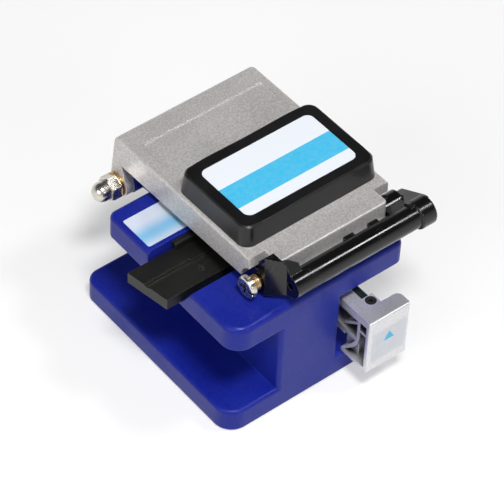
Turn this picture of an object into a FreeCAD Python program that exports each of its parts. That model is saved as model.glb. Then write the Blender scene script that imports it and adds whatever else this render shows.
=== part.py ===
"""Bench-top optical fibre cleaver, modelled as an assembly of its separate pieces.

Frame: millimetres, +Z up. The origin is the centre of the underside. +X runs along
the fibre, from the side where it is loaded to the side where the scrap end leaves.
+Y runs from the push block at the front to the lid hinge at the back.
Every piece is drawn where it lies with the lid down and the blade slider pulled out.
"""
import FreeCAD
import Part
import math
import os

Vector = FreeCAD.Vector

# ---------------------------------------------------------------- driving dimensions
# Base plate and body casting
BASE_WIDTH = 63.0            # along X
BASE_DEPTH = 68.0            # along Y
BASE_HEEL = 1.2                 # how much farther the base reaches behind the sole's middle
BASE_TOP = 8.2
PLAN_RADIUS = 6.0
HEEL_RADIUS = 4.4
EDGE_RADIUS = 1.2
TABLE_EDGE = 1.8
TABLE_CORNER = 2.5
SOLE_PROUD = 0.6
SOLE_RECESS = 0.8
SOLE_MARGIN = 5.0
COLUMN_LEFT = -13.6
COLUMN_RIGHT = 8.7
COLUMN_RADIUS = 1.5
TABLE_LEFT = -30.4
TABLE_BACK = 25.3
TABLE_BOTTOM = 33.6
TABLE_TOP = 42.8

# Fibre line, and the channel across the table that it runs in
FIBRE_Y = -2.0
FIBRE_Z = 39.6
CHANNEL_BACK = 5.8
CHANNEL_FRONT = -14.2           # at the table's top
CHANNEL_FOOT = -10.0            # at the channel's floor; the front wall leans out
ADAPTER_BED = 35.7
CLAMP_BED = 37.0
CLAMP_BED_LEFT = -8.0

# Lid hinge
HINGE_Y = 37.6
HINGE_Z = 36.4
PIN_RADIUS = 2.0
RUNNING_GAP = 0.05
BARREL_RADIUS = 4.6
BARREL_LEFT = -13.8
BARREL_RIGHT = 22.2
NECK_LEFT = -10.0
NECK_RISE = 3.2

# Lid casting, drawn level and then tilted to where it rests
LID_TILT = 2.6
LID_LEFT = -17.1
LID_RIGHT = 33.5
LID_WALL = 2.2
LID_ROOF = 2.4
LID_RIM = 44.6
LID_FRONT = -23.5
LID_FRONT_TOP = 53.3
LID_SLOPE = 1.2              # degrees, rising to the back
LID_EDGE = 1.0
EAR_THICKNESS = 2.9
EAR_RADIUS = 4.3
EAR_NECK = 2.0
EAR_CLEARANCE = 1.4
LID_BACK_LEAN = 3.0
TONGUE_LEFT = -11.5
TONGUE_RIGHT = 28.2
TONGUE_LENGTH = 6.0
PANEL_MARGIN = 3.5
PANEL_FRONT = 18.8
PANEL_BACK = 30.8
PANEL_DEPTH = 0.5

# Black cover on the lid
CAP_LEFT = -16.1
CAP_RIGHT = 33.0
CAP_FRONT = -20.4
CAP_BACK = 10.9
CAP_HEIGHT = 7.0
CAP_DRAFT = 0.8                 # how far each wall leans in over the height
CAP_RADIUS = 3.6
CAP_EDGE = 0.5
LABEL_INSET = 3.6
LABEL_DEPTH = 0.25

# Bail lever on the front corners of the lid
BAIL_Y = -24.94
BAIL_Z = 44.67
HUB_RADIUS = 4.3
HUB_POCKET_GAP = 0.6
BAIL_BORE = 1.56
BAR_Y = -34.6
BAR_Z = 47.75
BAR_RADIUS = 3.75
BAR_LEFT = -11.3
BAR_END_RADIUS = 4.5
BAR_STEP = 33.7
BAR_RIGHT = 39.1
ARM_LEFT_OUTER = -15.1
ARM_LEFT_INNER = -11.8
ARM_RIGHT_INNER = 36.1
ARM_RIGHT_RADIUS = 2.8
SLEEVE_RADIUS = 3.9
SLEEVE_GAP = 0.3
CREST_BACK = -25.2
CREST_LOW = 52.5
CREST_TOP = 55.6
BAIL_SCREW_RADIUS = 1.5
BAIL_HEAD_RADIUS = 3.5
BAIL_HEAD_LENGTH = 1.8
BAIL_SPRING_GAP = 0.15

# Blade slider
TRAVEL = 24.0
SLIDER_LEFT = 10.4
SLIDER_RIGHT = 25.4
SLIDER_FRONT = -45.1
SLIDER_WALL = 1.7
SLIDER_BLOCK = 5.5
SLIDER_ROOF = 2.6
SLIDER_BOTTOM = 9.0
SLIDER_TOP = 29.8
SLIDER_WEB_LEFT = 16.9
SLIDER_WEB = 2.0
SLIDER_ARM = 3.0
SLIDER_SIDE_LEFT = 14.8
RAIL_X = 18.4
RAIL_WIDTH = 7.0
RAIL_HEIGHT = 4.8
RAIL_FRONT = -14.2
RAIL_END = 1.0
CARRIAGE_WIDTH = 17.0
CARRIAGE_LENGTH = 18.0
CARRIAGE_FRONT = -11.8
CARRIAGE_TOP = 16.2
CARRIAGE_CAP = 1.5
CARRIAGE_GAP = 0.2
STOP_RADIUS = 1.0
STOP_HEIGHT = 1.8

# Blade wheel
BLADE_X = 15.0
BLADE_RADIUS = 8.0
BLADE_THICKNESS = 1.0
BLADE_START_Y = -14.0
BLADE_BITE = 0.05
AXLE_RADIUS = 1.5
SLOT_WIDTH = 2.4
SLOT_END_GAP = 0.6

# Clamps and anvil
CLAMP_PAD_WIDTH = 6.0
CLAMP_LEFT_START = -7.0
CLAMP_LEFT_END = 12.6
CLAMP_RIGHT_START = 17.4
CLAMP_RIGHT_END = 29.4
PAD_THICKNESS = 0.8
FIBRE_GAP = 0.25
CLAMP_STROKE = 0.8
ANVIL_STROKE = 1.2
STEM_RADIUS = 1.5
STEM_INSET = 3.2
BOSS_RADIUS = 2.65
BOSS_BOTTOM = 48.6
WIRE_SIDES = 6

# Rail screws and stops
RAIL_SCREW_RADIUS = 1.1
RAIL_SCREW_REACH = 4.5
RAIL_SCREW_HEAD = 2.0
RAIL_SCREW_HEAD_DEPTH = 2.2
RAIL_SCREW_PITCH = 15.0
RAIL_SCREW_COUNT = 3

# Holder plate and guide rail on the table
ADAPTER_GAP = 0.2
ADAPTER_OVERHANG = 7.6
ADAPTER_SKEW = 2.6
ADAPTER_FRONT = -9.7
ADAPTER_BACK = 5.2
RECESS_HALF = 1.15
RECESS_DEPTH = 0.4
RECESS_END = -20.3
GROOVE_HALF = 0.6
GROOVE_DEPTH = 0.8
ADAPTER_SCREW_PLACES = [(-19.9, -5.6), (-11.4, -5.6)]
ADAPTER_SCREW_RADIUS = 0.6
ADAPTER_SCREW_HEAD = 1.05
GUIDE_LEFT = -22.0
GUIDE_TOP = 42.3
GUIDE_FRONT = 3.9

# Blade holder
HOLDER_HALF = 4.0
HOLDER_ROUND = 3.2

# Lid magnet, striker and bosses
MAGNET_X = 7.5
MAGNET_Y = -19.5
MAGNET_RADIUS = 3.0
MAGNET_DEPTH = 3.0
BOSS_ROOT = 54.0
STRIKER_BOTTOM = 43.2
STRIKER_THICKNESS = 1.0
ANVIL_STEM = 1.2
UPPER_BLOCK_TOP = 45.6

# Hinge hardware
WASHER_THICKNESS = 1.1
WASHER_RADIUS = 3.9
NUT_FLATS = 7.0
NUT_LENGTH = 3.4
NUT_DOME_RADIUS = 3.1
NUT_DOME_LENGTH = 4.4
PIN_HEAD_RADIUS = 3.6
PIN_HEAD_LENGTH = 1.6

# Bail spring, sled plate, arm screw and strip
BAIL_SPRING_LENGTH = 2.9
PLATE_THICKNESS = 2.6
ARM_BACK = -25.0
ARM_SCREW_PLACE = (16.7, -37.5)
ARM_SCREW_RADIUS = 1.7
ARM_SCREW_RIGHT = 18.8
STRIP_LEFT = 15.0
STRIP_RIGHT = 17.2
STRIP_FRONT = -35.6
STRIP_BACK = -26.0
STRIP_BOTTOM = 28.4


# ---------------------------------------------------------------- values worked out
BASE_LEFT = -BASE_WIDTH / 2
BASE_RIGHT = BASE_WIDTH / 2
BASE_FRONT = -BASE_DEPTH / 2
BASE_BACK = BASE_DEPTH / 2 + BASE_HEEL
NECK_BOTTOM = TABLE_BOTTOM
NECK_TOP = HINGE_Z + NECK_RISE
EAR_CUT_TOP = HINGE_Z + BARREL_RADIUS + EAR_CLEARANCE
BLADE_Z = FIBRE_Z - BLADE_BITE - BLADE_RADIUS
RAIL_TOP = BASE_TOP + RAIL_HEIGHT
CARRIAGE_BACK = CARRIAGE_FRONT + CARRIAGE_LENGTH
RAIL_BACK = CARRIAGE_BACK + TRAVEL + CARRIAGE_GAP + 2 * STOP_RADIUS + RAIL_END
TONGUE_FRONT = LID_FRONT - TONGUE_LENGTH
LID_BACK = HINGE_Y + EAR_RADIUS - LID_BACK_LEAN
EAR_FRONT = HINGE_Y - EAR_RADIUS
HOLDER_LEFT = SLIDER_WEB_LEFT + SLIDER_WEB
HOLDER_RIGHT = HOLDER_LEFT + 2.5
UPPER_PAD_TOP = FIBRE_Z + FIBRE_GAP + PAD_THICKNESS
STEM_TOP = BOSS_ROOT - 2.7


# ---------------------------------------------------------------- drawing helpers
def box(x0, x1, y0, y1, z0, z1):
    """Box between two corners."""
    return Part.makeBox(x1 - x0, y1 - y0, z1 - z0, Vector(x0, y0, z0))


def rod_x(x0, x1, y, z, radius):
    """Cylinder along X."""
    return Part.makeCylinder(radius, x1 - x0, Vector(x0, y, z), Vector(1, 0, 0))


def rod_z(x, y, z0, z1, radius):
    """Cylinder along Z."""
    return Part.makeCylinder(radius, z1 - z0, Vector(x, y, z0), Vector(0, 0, 1))


def prism_x(points, x0, x1):
    """Outline given as (y, z) points, extruded along X."""
    wire = Part.makePolygon([Vector(x0, y, z) for y, z in points + points[:1]])
    return Part.Face(wire).extrude(Vector(x1 - x0, 0, 0))


def prism_z(points, z0, z1):
    """Outline given as (x, y) points, extruded along Z."""
    wire = Part.makePolygon([Vector(x, y, z0) for x, y in points + points[:1]])
    return Part.Face(wire).extrude(Vector(0, 0, z1 - z0))


def round_rectangle(x0, x1, y0, y1, z, radius):
    """Closed wire of a rectangle with round corners, at one height."""
    turn = radius * (1 - math.sqrt(0.5))
    corners = [
        (Vector(x1 - radius, y0, z), Vector(x1 - turn, y0 + turn, z), Vector(x1, y0 + radius, z)),
        (Vector(x1, y1 - radius, z), Vector(x1 - turn, y1 - turn, z), Vector(x1 - radius, y1, z)),
        (Vector(x0 + radius, y1, z), Vector(x0 + turn, y1 - turn, z), Vector(x0, y1 - radius, z)),
        (Vector(x0, y0 + radius, z), Vector(x0 + turn, y0 + turn, z), Vector(x0 + radius, y0, z)),
    ]
    edges = []
    for index, (start, middle, end) in enumerate(corners):
        edges.append(Part.Arc(start, middle, end).toShape())
        following = corners[(index + 1) % 4][0]
        edges.append(Part.LineSegment(end, following).toShape())
    return Part.Wire(edges)


def round_plate(x0, x1, y0, y1, z0, z1, radius):
    """Plate with round corners in plan."""
    wire = round_rectangle(x0, x1, y0, y1, z0, radius)
    return Part.Face(wire).extrude(Vector(0, 0, z1 - z0))


def arm_profile(y0, z0, radius0, y1, z1, radius1, x0, x1):
    """Link with round ends about two axes along X, made as a hull of two circles."""
    length = math.hypot(y1 - y0, z1 - z0)
    heading = math.atan2(z1 - z0, y1 - y0)
    lean = math.acos((radius0 - radius1) / length)

    def on_circle(y, z, radius, angle):
        return Vector(x0, y + radius * math.cos(angle), z + radius * math.sin(angle))

    start_up = on_circle(y0, z0, radius0, heading + lean)
    start_far = on_circle(y0, z0, radius0, heading + math.pi)
    start_down = on_circle(y0, z0, radius0, heading - lean)
    end_down = on_circle(y1, z1, radius1, heading - lean)
    end_far = on_circle(y1, z1, radius1, heading)
    end_up = on_circle(y1, z1, radius1, heading + lean)
    wire = Part.Wire([
        Part.Arc(start_up, start_far, start_down).toShape(),
        Part.LineSegment(start_down, end_down).toShape(),
        Part.Arc(end_down, end_far, end_up).toShape(),
        Part.LineSegment(end_up, start_up).toShape(),
    ])
    return Part.Face(wire).extrude(Vector(x1 - x0, 0, 0))


def edges_where(shape, test):
    """Edges whose two ends both pass a test."""
    found = []
    for edge in shape.Edges:
        ends = [vertex.Point for vertex in edge.Vertexes]
        if ends and all(test(point) for point in ends):
            found.append(edge)
    return found


def upright_edges(shape, test):
    """Straight upright edges whose ends pass a test."""
    found = []
    for edge in edges_where(shape, test):
        ends = [vertex.Point for vertex in edge.Vertexes]
        if len(ends) == 2 and abs(ends[0].z - ends[1].z) > 0.5:
            if abs(ends[0].x - ends[1].x) < 0.01 and abs(ends[0].y - ends[1].y) < 0.01:
                found.append(edge)
    return found


def level_edges(shape, z):
    """Edges that lie at one height."""
    return edges_where(shape, lambda point: abs(point.z - z) < 0.01)


def spring(start, direction, radius, wire_radius, length, turns):
    """Coil spring from a start point along a direction, its wire drawn six-sided."""
    pitch = length / turns
    helix = Part.makeHelix(pitch, length, radius)
    corners = []
    for index in range(WIRE_SIDES):
        angle = 2 * math.pi * index / WIRE_SIDES
        corners.append(Vector(radius + wire_radius * math.cos(angle), 0, wire_radius * math.sin(angle)))
    section = Part.makePolygon(corners + corners[:1])
    coil = Part.Wire(helix).makePipeShell([section], True, True)
    turn = FreeCAD.Rotation(Vector(0, 0, 1), direction)
    coil.Placement = FreeCAD.Placement(start, turn)
    return coil


def tilt(shape):
    """Turn a piece drawn on the level lid about the hinge, to where the lid rests."""
    turned = shape.copy()
    turned.rotate(Vector(0, HINGE_Y, HINGE_Z), Vector(1, 0, 0), -LID_TILT)
    return turned


def lid_top(y):
    """Height of the level lid's outer top at one place along Y."""
    return LID_FRONT_TOP + (y - LID_FRONT) * math.tan(math.radians(LID_SLOPE))


def save(name, shape):
    """Write one node."""
    shape.exportStep(os.path.join("parts", name + ".step"))


# ---------------------------------------------------------------- body
def base_plate():
    """Base plate with round corners, a soft top edge and a recess for its sole."""
    plate = box(BASE_LEFT, BASE_RIGHT, BASE_FRONT, BASE_BACK, SOLE_PROUD, BASE_TOP)
    plate = plate.makeFillet(PLAN_RADIUS, upright_edges(plate, lambda p: p.y < BASE_FRONT + 0.1))
    plate = plate.makeFillet(HEEL_RADIUS, upright_edges(plate, lambda p: p.y > BASE_BACK - 0.1))
    plate = plate.makeFillet(EDGE_RADIUS, level_edges(plate, BASE_TOP))
    recess = sole_plate(SOLE_PROUD - 1.0, SOLE_PROUD + SOLE_RECESS, 0.0)
    return plate.cut(recess)


def sole_plate(z0, z1, gap):
    """Plan of the rubber sole between two heights, drawn in by a gap."""
    inset = SOLE_MARGIN + gap
    return round_plate(
        BASE_LEFT + inset, BASE_RIGHT - inset, BASE_FRONT + inset, -BASE_FRONT - inset,
        z0, z1, PLAN_RADIUS - 2.0
    )


def channel(x0, x1, floor):
    """Cut for the fibre channel: upright back wall, leaning front wall."""
    over = TABLE_TOP + 1.0
    lean = (CHANNEL_FOOT - CHANNEL_FRONT) / (TABLE_TOP - ADAPTER_BED)
    return prism_x([
        (CHANNEL_FOOT - lean * (floor - ADAPTER_BED), floor), (CHANNEL_BACK, floor),
        (CHANNEL_BACK, over), (CHANNEL_FRONT - lean, over)
    ], x0, x1)


def table():
    """Table with soft edges, the fibre channel and the clamp bed."""
    plate = box(TABLE_LEFT, BASE_RIGHT, BASE_FRONT, TABLE_BACK, TABLE_BOTTOM, TABLE_TOP)
    wide = upright_edges(plate, lambda p: p.x < TABLE_LEFT + 0.1 and p.y < BASE_FRONT + 0.1)
    plate = plate.makeFillet(PLAN_RADIUS, wide)
    tight = upright_edges(plate, lambda p: p.x > BASE_RIGHT - 0.1 or p.y > TABLE_BACK - 0.1)
    plate = plate.makeFillet(TABLE_CORNER, tight)
    plate = plate.makeFillet(TABLE_EDGE, level_edges(plate, TABLE_TOP))
    plate = plate.makeFillet(1.0, level_edges(plate, TABLE_BOTTOM))
    bed = channel(TABLE_LEFT - 1.0, CLAMP_BED_LEFT, ADAPTER_BED)
    clamp_bed = channel(CLAMP_BED_LEFT - 1.0, BASE_RIGHT + 1.0, CLAMP_BED)
    return plate.cut(bed).cut(clamp_bed)


def blade_space():
    """Space under and through the table that the moving blade and its holder need."""
    reach = math.sqrt(BLADE_RADIUS ** 2 - (TABLE_BOTTOM - BLADE_Z) ** 2) + SLOT_END_GAP
    slot = box(
        BLADE_X - SLOT_WIDTH / 2, BLADE_X + SLOT_WIDTH / 2,
        BLADE_START_Y - reach, BLADE_START_Y + TRAVEL + reach, TABLE_BOTTOM - 1.0, FIBRE_Z + 0.9
    )
    pocket = box(
        SLIDER_LEFT + 0.5, HOLDER_RIGHT + 0.8,
        BLADE_START_Y - HOLDER_HALF - 0.8, BLADE_START_Y + TRAVEL + HOLDER_HALF + 0.8,
        TABLE_BOTTOM - 1.0, BLADE_Z + HOLDER_ROUND + 0.5
    )
    return slot.fuse(pocket)


def column():
    """Column that carries the table, with soft front edges."""
    post = round_plate(
        COLUMN_LEFT, COLUMN_RIGHT, BASE_FRONT, TABLE_BACK, BASE_TOP - 1.0, TABLE_BOTTOM + 1.5, COLUMN_RADIUS
    )
    return post


def hinge_barrel():
    """Barrel for the hinge pin and the neck that carries it behind the table."""
    barrel = rod_x(BARREL_LEFT, BARREL_RIGHT, HINGE_Y, HINGE_Z, BARREL_RADIUS)
    neck = prism_x([
        (TABLE_BACK - 2.0, NECK_BOTTOM + 0.6), (HINGE_Y - 1.0, HINGE_Z - BARREL_RADIUS + 0.3),
        (HINGE_Y - 1.0, HINGE_Z + 3.0), (TABLE_BACK - 2.0, NECK_TOP)
    ], NECK_LEFT, BARREL_RIGHT)
    return barrel.fuse(neck)


def body_casting():
    """Painted casting: base, column, table and hinge barrel in one piece."""
    body = base_plate().fuse([column(), table(), hinge_barrel()])
    body = body.removeSplitter()
    body = body.cut(blade_space())
    body = body.cut(rod_x(BARREL_LEFT - 1.0, BARREL_RIGHT + 1.0, HINGE_Y, HINGE_Z, PIN_RADIUS + RUNNING_GAP))
    hole_bottom = BASE_TOP - RAIL_SCREW_REACH - 0.5
    for hole in rail_screw_cylinders(RAIL_SCREW_RADIUS + 0.02, hole_bottom, BASE_TOP + 1.0):
        body = body.cut(hole)
    magnet_bottom = TABLE_TOP - MAGNET_DEPTH
    body = body.cut(rod_z(MAGNET_X, MAGNET_Y, magnet_bottom, TABLE_TOP + 1.0, MAGNET_RADIUS + 0.02))
    for x, y in ADAPTER_SCREW_PLACES:
        body = body.cut(rod_z(x, y, TABLE_BOTTOM - 1.0, ADAPTER_BED + 1.0, ADAPTER_SCREW_RADIUS + 0.02))
    return body


# ---------------------------------------------------------------- rail


def rail_screw_rows():
    """Places along Y of the rail's screws, about the middle of the rail."""
    middle = (RAIL_FRONT + RAIL_BACK) / 2
    first = middle - RAIL_SCREW_PITCH * (RAIL_SCREW_COUNT - 1) / 2
    return [first + RAIL_SCREW_PITCH * index for index in range(RAIL_SCREW_COUNT)]


def rail_screw_cylinders(radius, z0, z1):
    """One upright cylinder at each rail screw."""
    return [rod_z(RAIL_X, y, z0, z1, radius) for y in rail_screw_rows()]


def stop_rows():
    """Places along Y of the two pins that stop the carriage."""
    front = CARRIAGE_FRONT - CARRIAGE_GAP - STOP_RADIUS
    back = CARRIAGE_BACK + TRAVEL + CARRIAGE_GAP + STOP_RADIUS
    return [front, back]


def linear_rail():
    """Guide rail with a waisted section, counterbores and holes for its stop pins."""
    half = RAIL_WIDTH / 2
    waist = 0.6
    outline = [
        (RAIL_X - half, BASE_TOP), (RAIL_X + half, BASE_TOP), (RAIL_X + half, BASE_TOP + 1.4),
        (RAIL_X + half - waist, BASE_TOP + 2.2), (RAIL_X + half - waist, BASE_TOP + 3.2),
        (RAIL_X + half, BASE_TOP + 4.0), (RAIL_X + half, RAIL_TOP - 0.3), (RAIL_X + half - 0.3, RAIL_TOP),
        (RAIL_X - half + 0.3, RAIL_TOP), (RAIL_X - half, RAIL_TOP - 0.3), (RAIL_X - half, BASE_TOP + 4.0),
        (RAIL_X - half + waist, BASE_TOP + 3.2), (RAIL_X - half + waist, BASE_TOP + 2.2),
        (RAIL_X - half, BASE_TOP + 1.4)
    ]
    wire = Part.makePolygon([Vector(x, RAIL_FRONT, z) for x, z in outline + outline[:1]])
    rail = Part.Face(wire).extrude(Vector(0, RAIL_BACK - RAIL_FRONT, 0))
    for hole in rail_screw_cylinders(RAIL_SCREW_RADIUS + 0.1, BASE_TOP - 1.0, RAIL_TOP + 1.0):
        rail = rail.cut(hole)
    sink = RAIL_TOP - RAIL_SCREW_HEAD_DEPTH
    for hole in rail_screw_cylinders(RAIL_SCREW_HEAD + 0.1, sink, RAIL_TOP + 1.0):
        rail = rail.cut(hole)
    for y in stop_rows():
        rail = rail.cut(rod_z(RAIL_X, y, RAIL_TOP - 3.0, RAIL_TOP + 1.0, STOP_RADIUS + 0.02))
    return rail


def socket_screw(x, y, seat, reach, radius, head_radius, head_height):
    """Upright socket screw whose head sits on a seat height."""
    shank = rod_z(x, y, seat - reach, seat, radius)
    head = rod_z(x, y, seat, seat + head_height, head_radius)
    key = head_radius * 0.55
    turns = [math.radians(60 * i) for i in range(6)]
    corners = [(x + key * math.cos(turn), y + key * math.sin(turn)) for turn in turns]
    socket = prism_z(corners, seat + head_height * 0.45, seat + head_height + 0.1)
    return shank.fuse(head).removeSplitter().cut(socket)


def rail_screws():
    """Screws that hold the rail to the base, heads sunk in the rail."""
    seat = RAIL_TOP - RAIL_SCREW_HEAD_DEPTH
    reach = seat - BASE_TOP + RAIL_SCREW_REACH
    screws = [
        socket_screw(RAIL_X, y, seat, reach, RAIL_SCREW_RADIUS, RAIL_SCREW_HEAD, RAIL_SCREW_HEAD_DEPTH - 0.3)
        for y in rail_screw_rows()
    ]
    return Part.makeCompound(screws)


def rail_stop_pins():
    """Pins pressed into the rail ends to stop the carriage."""
    high = RAIL_TOP + STOP_HEIGHT
    return Part.makeCompound([rod_z(RAIL_X, y, RAIL_TOP - 3.0, high, STOP_RADIUS) for y in stop_rows()])


# ---------------------------------------------------------------- fibre holder on the table


def adapter_plate():
    """Black holder plate in the channel, with an oblique nose and a shallow fibre groove."""
    end = CLAMP_BED_LEFT - 0.2
    nose = TABLE_LEFT - ADAPTER_OVERHANG
    plan = [
        (end, ADAPTER_FRONT), (end, ADAPTER_BACK), (nose, ADAPTER_BACK), (nose + ADAPTER_SKEW, ADAPTER_FRONT)
    ]
    plate = prism_z(plan, ADAPTER_BED + 0.02, FIBRE_Z)
    recess = box(
        nose - 1.0, RECESS_END, FIBRE_Y - RECESS_HALF, FIBRE_Y + RECESS_HALF,
        FIBRE_Z - RECESS_DEPTH, FIBRE_Z + 1.0
    )
    groove = prism_x([
        (FIBRE_Y - GROOVE_HALF, FIBRE_Z + 0.1), (FIBRE_Y, FIBRE_Z - GROOVE_DEPTH),
        (FIBRE_Y + GROOVE_HALF, FIBRE_Z + 0.1)
    ], nose - 1.0, end + 1.0)
    plate = plate.cut(recess).cut(groove)
    for x, y in ADAPTER_SCREW_PLACES:
        plate = plate.cut(rod_z(x, y, ADAPTER_BED - 1.0, FIBRE_Z + 1.0, ADAPTER_SCREW_RADIUS + 0.1))
        plate = plate.cut(rod_z(x, y, FIBRE_Z - 1.0, FIBRE_Z + 1.0, ADAPTER_SCREW_HEAD + 0.1))
    return plate


def adapter_screws():
    """Small screws that fix the holder plate to the table."""
    seat = FIBRE_Z - 1.0
    reach = seat - TABLE_BOTTOM - 0.3
    screws = [
        socket_screw(x, y, seat, reach, ADAPTER_SCREW_RADIUS, ADAPTER_SCREW_HEAD, 0.9)
        for x, y in ADAPTER_SCREW_PLACES
    ]
    return Part.makeCompound(screws)


def fibre_guide_rail():
    """Narrow black rail on the holder plate, against the channel's back wall."""
    back = CHANNEL_BACK - ADAPTER_GAP
    return prism_x([
        (GUIDE_FRONT, FIBRE_Z + 0.02), (GUIDE_FRONT, GUIDE_TOP - 0.4), (GUIDE_FRONT + 0.4, GUIDE_TOP),
        (back, GUIDE_TOP), (back, FIBRE_Z + 0.02)
    ], GUIDE_LEFT, CLAMP_BED_LEFT - 1.6)


# ---------------------------------------------------------------- lower clamps and magnet


def lower_clamp(x0, x1):
    """Lower clamp block with a shoulder on each side of the pad's seat."""
    half = CLAMP_PAD_WIDTH / 2
    top = FIBRE_Z - PAD_THICKNESS
    return prism_x([
        (FIBRE_Y - half - 2.2, CLAMP_BED), (FIBRE_Y + half + 2.2, CLAMP_BED),
        (FIBRE_Y + half + 2.2, top - 0.8),
        (FIBRE_Y + half + 1.4, top), (FIBRE_Y - half - 1.4, top), (FIBRE_Y - half - 2.2, top - 0.8)
    ], x0, x1)


def lower_pad(x0, x1):
    """Rubber pad on a lower clamp block."""
    half = CLAMP_PAD_WIDTH / 2
    return box(x0, x1, FIBRE_Y - half, FIBRE_Y + half, FIBRE_Z - PAD_THICKNESS, FIBRE_Z)


def lid_magnet():
    """Magnet set flush in the table, which holds the lid down."""
    return rod_z(MAGNET_X, MAGNET_Y, TABLE_TOP - MAGNET_DEPTH, TABLE_TOP - 0.05, MAGNET_RADIUS)


# ---------------------------------------------------------------- lid
def ear_front():
    """Place on the ear's rim, in the side view, where its front neck begins."""
    return HINGE_Y - EAR_RADIUS * math.cos(math.radians(30)), HINGE_Z + EAR_RADIUS / 2


def lid_wedge():
    """Side of the level lid as a wedge that reaches down to the hinge's axis."""
    return prism_x([
        (TONGUE_FRONT, LID_RIM), (TONGUE_FRONT, lid_top(TONGUE_FRONT)), (LID_BACK, lid_top(LID_BACK)),
        (HINGE_Y + EAR_RADIUS, HINGE_Z), (HINGE_Y, HINGE_Z), ear_front(), (HINGE_Y - EAR_NECK, LID_RIM)
    ], LID_LEFT, LID_RIGHT)


def lid_ear():
    """Round ear about the hinge, as the sector that the wedge leaves open."""
    back = Vector(LID_LEFT, HINGE_Y + EAR_RADIUS, HINGE_Z)
    bottom = Vector(LID_LEFT, HINGE_Y, HINGE_Z - EAR_RADIUS)
    front = Vector(LID_LEFT, *ear_front())
    centre = Vector(LID_LEFT, HINGE_Y, HINGE_Z)
    edges = [Part.Arc(back, bottom, front).toShape()]
    edges.append(Part.LineSegment(front, centre).toShape())
    edges.append(Part.LineSegment(centre, back).toShape())
    return Part.Face(Part.Wire(edges)).extrude(Vector(LID_RIGHT - LID_LEFT, 0, 0))


def lid_outer():
    """Solid outer form of the level lid, with its notched front corners and soft edges."""
    body = lid_wedge().fuse(lid_ear()).removeSplitter()
    body = body.makeFillet(3.0, edges_where(body, lambda p: abs(p.y - LID_BACK) < 0.01))
    sides = edges_where(body, lambda p: abs(p.z - lid_top(p.y)) < 0.01)
    lengthwise = [edge for edge in sides if abs(edge.Vertexes[0].Point.x - edge.Vertexes[1].Point.x) < 0.01]
    body = body.makeFillet(LID_EDGE, lengthwise)
    over = lid_top(LID_BACK) + 1.0
    body = body.cut(box(LID_LEFT - 1.0, TONGUE_LEFT, TONGUE_FRONT - 1.0, LID_FRONT, LID_RIM - 1.0, over))
    body = body.cut(box(TONGUE_RIGHT, LID_RIGHT + 1.0, TONGUE_FRONT - 1.0, LID_FRONT, LID_RIM - 1.0, over))
    corners = upright_edges(body, lambda p: p.y < TONGUE_FRONT + 0.1)
    body = body.makeFillet(1.2, corners)
    nose = edges_where(body, lambda p: abs(p.z - lid_top(p.y)) < 0.01 and p.y < LID_FRONT - 0.5)
    return body.makeFillet(0.5, nose)


def lid_hollow():
    """Inside of the level lid."""
    ceiling = LID_ROOF
    front_y = LID_FRONT + 5.2
    back_y = LID_BACK - 2.4
    low = LID_RIM - 0.2
    main = prism_x([
        (front_y, low), (back_y, low), (back_y - 0.3, lid_top(back_y) - ceiling),
        (front_y, lid_top(front_y) - ceiling)
    ], LID_LEFT + LID_WALL, LID_RIGHT - LID_WALL)
    tongue_y = TONGUE_FRONT + LID_WALL
    tongue = prism_x([
        (tongue_y, low), (front_y + 1.0, low), (front_y + 1.0, lid_top(front_y) - ceiling),
        (tongue_y, lid_top(tongue_y) - ceiling)
    ], TONGUE_LEFT + LID_WALL, TONGUE_RIGHT - LID_WALL)
    return main.fuse(tongue)


def lid_panel():
    """Shallow recessed panel on the back of the lid's top."""
    high = lid_top(PANEL_BACK) + 2.0
    panel = prism_x([
        (PANEL_FRONT, lid_top(PANEL_FRONT) - PANEL_DEPTH), (PANEL_BACK, lid_top(PANEL_BACK) - PANEL_DEPTH),
        (PANEL_BACK, high), (PANEL_FRONT, high)
    ], LID_LEFT + PANEL_MARGIN, LID_RIGHT - PANEL_MARGIN + 1.0)
    return panel.makeFillet(1.2, upright_edges(panel, lambda p: True))


def stem_places():
    """Plan places of the lid bosses: two for each clamp and one for the anvil."""
    left = [CLAMP_LEFT_START + STEM_INSET, CLAMP_LEFT_END - STEM_INSET]
    right = [CLAMP_RIGHT_START + STEM_INSET, CLAMP_RIGHT_END - STEM_INSET]
    return left, right


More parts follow.
